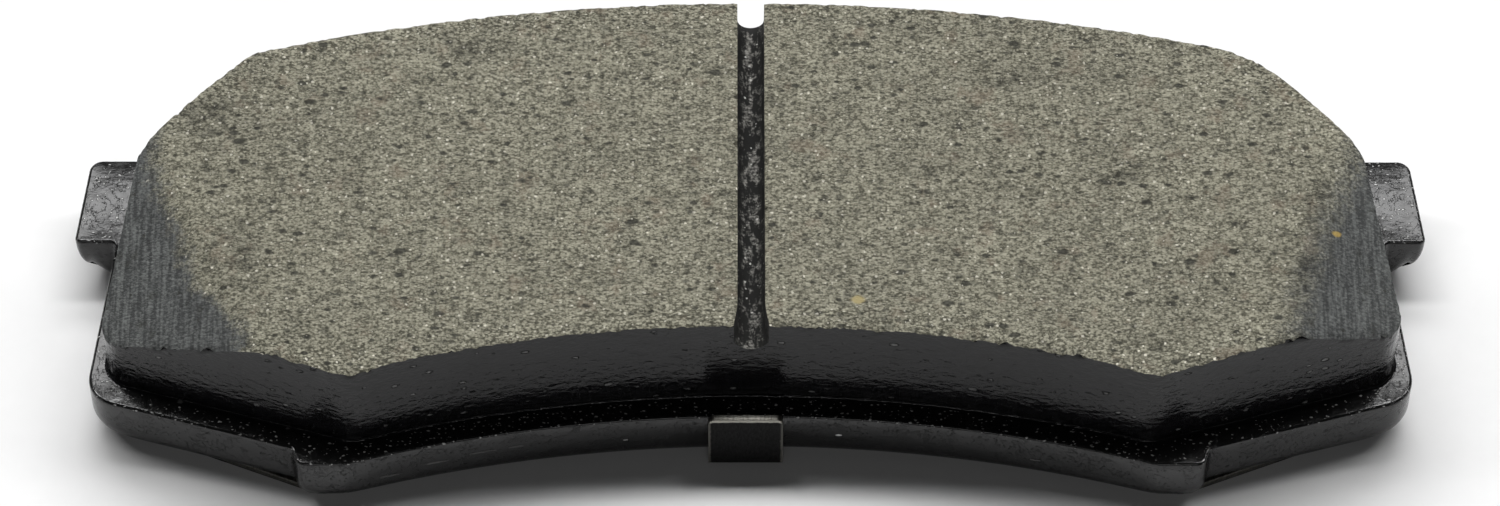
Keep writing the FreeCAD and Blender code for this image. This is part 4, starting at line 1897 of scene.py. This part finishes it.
@dataclass
class Shim:
    """Layered shim below the plate. Lengths are in millimetres."""

    steel_edge: float = 0.09
    coat_edge: float = 0.04
    # edges that turn more than bevel_angle are rounded; angles in degrees
    bevel_angle: float = 50.0
    flat_angle: float = 1.0
    sharp_angle: float = 35.0

    def softened(self, node: str, name: str, width: float) -> bpy.types.Object:
        """Copies a packed layer and rounds its edges.

        Args:
            node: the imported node.
            name: name of the new piece.
            width: width of the rounding.

        Returns:
            The new piece.
        """
        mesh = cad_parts[node].data.copy()
        mesh.name = name
        mesh.materials.clear()
        piece = new_object(name, mesh)
        work = bmesh.new()
        work.from_mesh(mesh)
        bmesh.ops.remove_doubles(work, verts=work.verts, dist=1e-6)
        flat, sharp = math.radians(self.flat_angle), math.radians(self.bevel_angle)
        bmesh.ops.dissolve_limit(work, angle_limit=flat, verts=work.verts, edges=work.edges)
        edges = [e for e in work.edges if e.is_manifold and e.calc_face_angle() > sharp]
        bmesh.ops.bevel(
            work, geom=edges, offset=width * MM, segments=3, profile=0.5, affect="EDGES",
            clamp_overlap=True,
        )
        bmesh.ops.recalc_face_normals(work, faces=work.faces)
        work.to_mesh(mesh)
        work.free()
        return piece

    def dress(self, steel: bpy.types.Material, coat: bpy.types.Material) -> None:
        """Builds the steel core and its outer coat, and gives them their finishes.

        Args:
            steel: finish of the core.
            coat: finish of its coat.
        """
        core = self.softened("shim_steel", "shim_core", self.steel_edge)
        adopt(core, "shim_steel", "shim_steel", self.sharp_angle, steel)
        skin = self.softened("shim_outer_rubber", "shim_coat", self.coat_edge)
        adopt(skin, "shim_outer_rubber", "shim_rubber", self.sharp_angle, coat)


@dataclass
class HiddenLayers:
    """Packed layers that show only as thin lines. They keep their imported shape."""

    finishes: dict[str, CoatFinish] = field(default_factory=dict)

    def dress(self) -> None:
        """Gives each layer its material."""
        for node, finish in self.finishes.items():
            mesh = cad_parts[node].data
            mesh.materials.clear()
            mesh.materials.append(finish.make())
            LOG.info("%s: packed shape, finish %s", node, finish.name)


# ---------------------------------------------------------------------------
# studio
# ---------------------------------------------------------------------------


@dataclass
class Studio:
    """Pale floor, a long lamp overhead, one behind, a small one in front, and the camera."""

    floor_size: float = 4.0
    floor_colour: Colour = (0.86, 0.86, 0.86)
    floor_shade: float = 0.98
    surround: float = 0.012
    lamp_distance: float = 1.2
    # lamps: name, azimuth and elevation in degrees, width and depth in metres, power in watts
    lamps: tuple = (
        ("overhead_strip", 0.0, 72.0, 2.40, 0.14, 19.5),
        ("rear_panel", 0.0, 53.5, 1.00, 0.26, 6.4),
        ("front_fill", 180.0, 36.0, 0.50, 0.12, 0.75),
    )
    azimuth: float = -0.453
    elevation: float = 54.188
    roll: float = 0.404
    distance: float = 0.47119
    focal_width: float = 3.6556
    sensor: float = 36.0
    shift: float = -0.0025
    aim: tuple[float, float, float] = (0.000267, 0.000892, 0.0062)

    def add_floor(self) -> None:
        """Adds the floor under the pad."""
        half = self.floor_size / 2
        mesh = bpy.data.meshes.new("floor")
        corners = [(-half, -half, 0), (half, -half, 0), (half, half, 0), (-half, half, 0)]
        mesh.from_pydata(corners, [], [(0, 1, 2, 3)])
        floor = new_object("floor", mesh)
        material, g, shader = new_material("studio_floor")
        grain = g.noise(g.place(), 0.4, 3.0)
        shaded = tuple(self.floor_shade * c for c in self.floor_colour)
        tint = g.ramp(grain, [(0.3, shaded), (0.7, self.floor_colour)])
        g.feed(shader.inputs["Base Color"], tint)
        shader.inputs["Roughness"].default_value = 0.9
        shader.inputs["Specular IOR Level"].default_value = 0.1
        mesh.materials.append(material)

    def add_lights(self) -> None:
        """Adds the lamps and the surround."""
        for name, side, rise, width, depth, power in self.lamps:
            lamp = bpy.data.lights.new(name, "AREA")
            lamp.shape = "RECTANGLE"
            lamp.size, lamp.size_y = width, depth
            lamp.energy = power
            turn, tilt = math.radians(side), math.radians(rise)
            level = math.cos(tilt)
            away = Vector((math.sin(turn) * level, math.cos(turn) * level, math.sin(tilt)))
            panel = new_object(name, lamp)
            panel.location = away * self.lamp_distance
            panel.rotation_euler = away.to_track_quat("Z", "Y").to_euler()
        world = bpy.data.worlds.new("surround")
        world.use_nodes = True
        bpy.context.scene.world = world
        g = Graph(world.node_tree)
        background = world.node_tree.nodes["Background"]
        path = g.node("ShaderNodeLightPath")
        seen = path.outputs["Is Camera Ray"]
        strength = g.math("MULTIPLY_ADD", seen, 1 - self.surround, self.surround)
        g.feed(background.inputs["Strength"], strength)
        background.inputs["Color"].default_value = (1, 1, 1, 1)

    def add_camera(self) -> None:
        """Adds the camera at its fitted place."""
        yaw, rise, roll = (math.radians(a) for a in (self.azimuth, self.elevation, self.roll))
        level = math.cos(rise)
        back = Vector((math.sin(yaw) * level, -math.cos(yaw) * level, math.sin(rise)))
        right = Vector((0, 0, 1)).cross(back).normalized()
        up = back.cross(right)
        turned = right * math.cos(roll) + up * math.sin(roll)
        upright = up * math.cos(roll) - right * math.sin(roll)
        data = bpy.data.cameras.new("camera")
        data.sensor_width = self.sensor
        data.lens = self.sensor * self.focal_width
        data.shift_x = self.shift
        data.clip_start = 0.01
        camera = new_object("camera", data)
        axes = Matrix((turned, upright, back)).transposed().to_4x4()
        camera.matrix_world = Matrix.Translation(Vector(self.aim) + back * self.distance) @ axes
        bpy.context.scene.camera = camera

    def build(self) -> None:
        """Sets up the whole studio."""
        self.add_floor()
        self.add_lights()
        self.add_camera()
        bpy.context.scene.view_settings.view_transform = "Standard"


def front_tab() -> tuple[float, float, float, float, float]:
    """Place and size of the front tab's coated face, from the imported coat.

    Returns:
        Middle x, middle z, half width, half height and the y behind which the tab ends.
    """
    corners = node_triangles("shim_outer_rubber").reshape(-1, 3)
    upright = corners[(corners[:, 1] < 0) & (corners[:, 2] > corners[:, 2].max() / 2)]
    front = upright[upright[:, 1] < upright[:, 1].min() + 0.01]
    low, high = front.min(0), front.max(0)
    return (
        (low[0] + high[0]) / 2, high[2] / 2, (high[0] - low[0]) / 2, high[2] / 2, high[1] + 0.5
    )


def main() -> None:
    """Builds the pad piece by piece."""
    logging.basicConfig(level=logging.INFO, format="%(message)s")
    Studio().build()
    wall_enamel = EnamelFinish("lining_enamel").make()
    plate_enamel = EnamelFinish(
        "plate_enamel", colour=(0.0085,) * 3, roughness=(0.13, 0.22), peel=0.8, nibs=1.0,
        nib_spacing=0.30, nib_dust_glint_strength=0.9, nib_floor=5.9, depth=0.028, dents=1.2, ior=1.48,
        scuffs_and_reflections=PLATE_SCUFFS_AND_REFLECTIONS,
    ).make()
    Lining().dress(FrictionFinish().make(), wall_enamel, SlotFinish().make())
    BackingPlate().dress(plate_enamel)
    coat = CoatFinish("rubber_coat", (0.0008,) * 3, (0.014,) * 3, 0.20, gloss=0.09, tab=front_tab())
    Shim().dress(SteelFinish().make(), coat.make())
    HiddenLayers(
        {
            "bond_film": CoatFinish("cured_adhesive", (0.02, 0.015, 0.01), (0.09, 0.06, 0.035)),
            "shim_adhesive": CoatFinish("tacky_adhesive", (0.35, 0.32, 0.26), (0.52, 0.49, 0.42)),
            "shim_damping_layer": CoatFinish("damping_rubber", (0.012,) * 3, (0.035,) * 3),
        }
    ).dress()


if __name__ == "__main__":
    main()
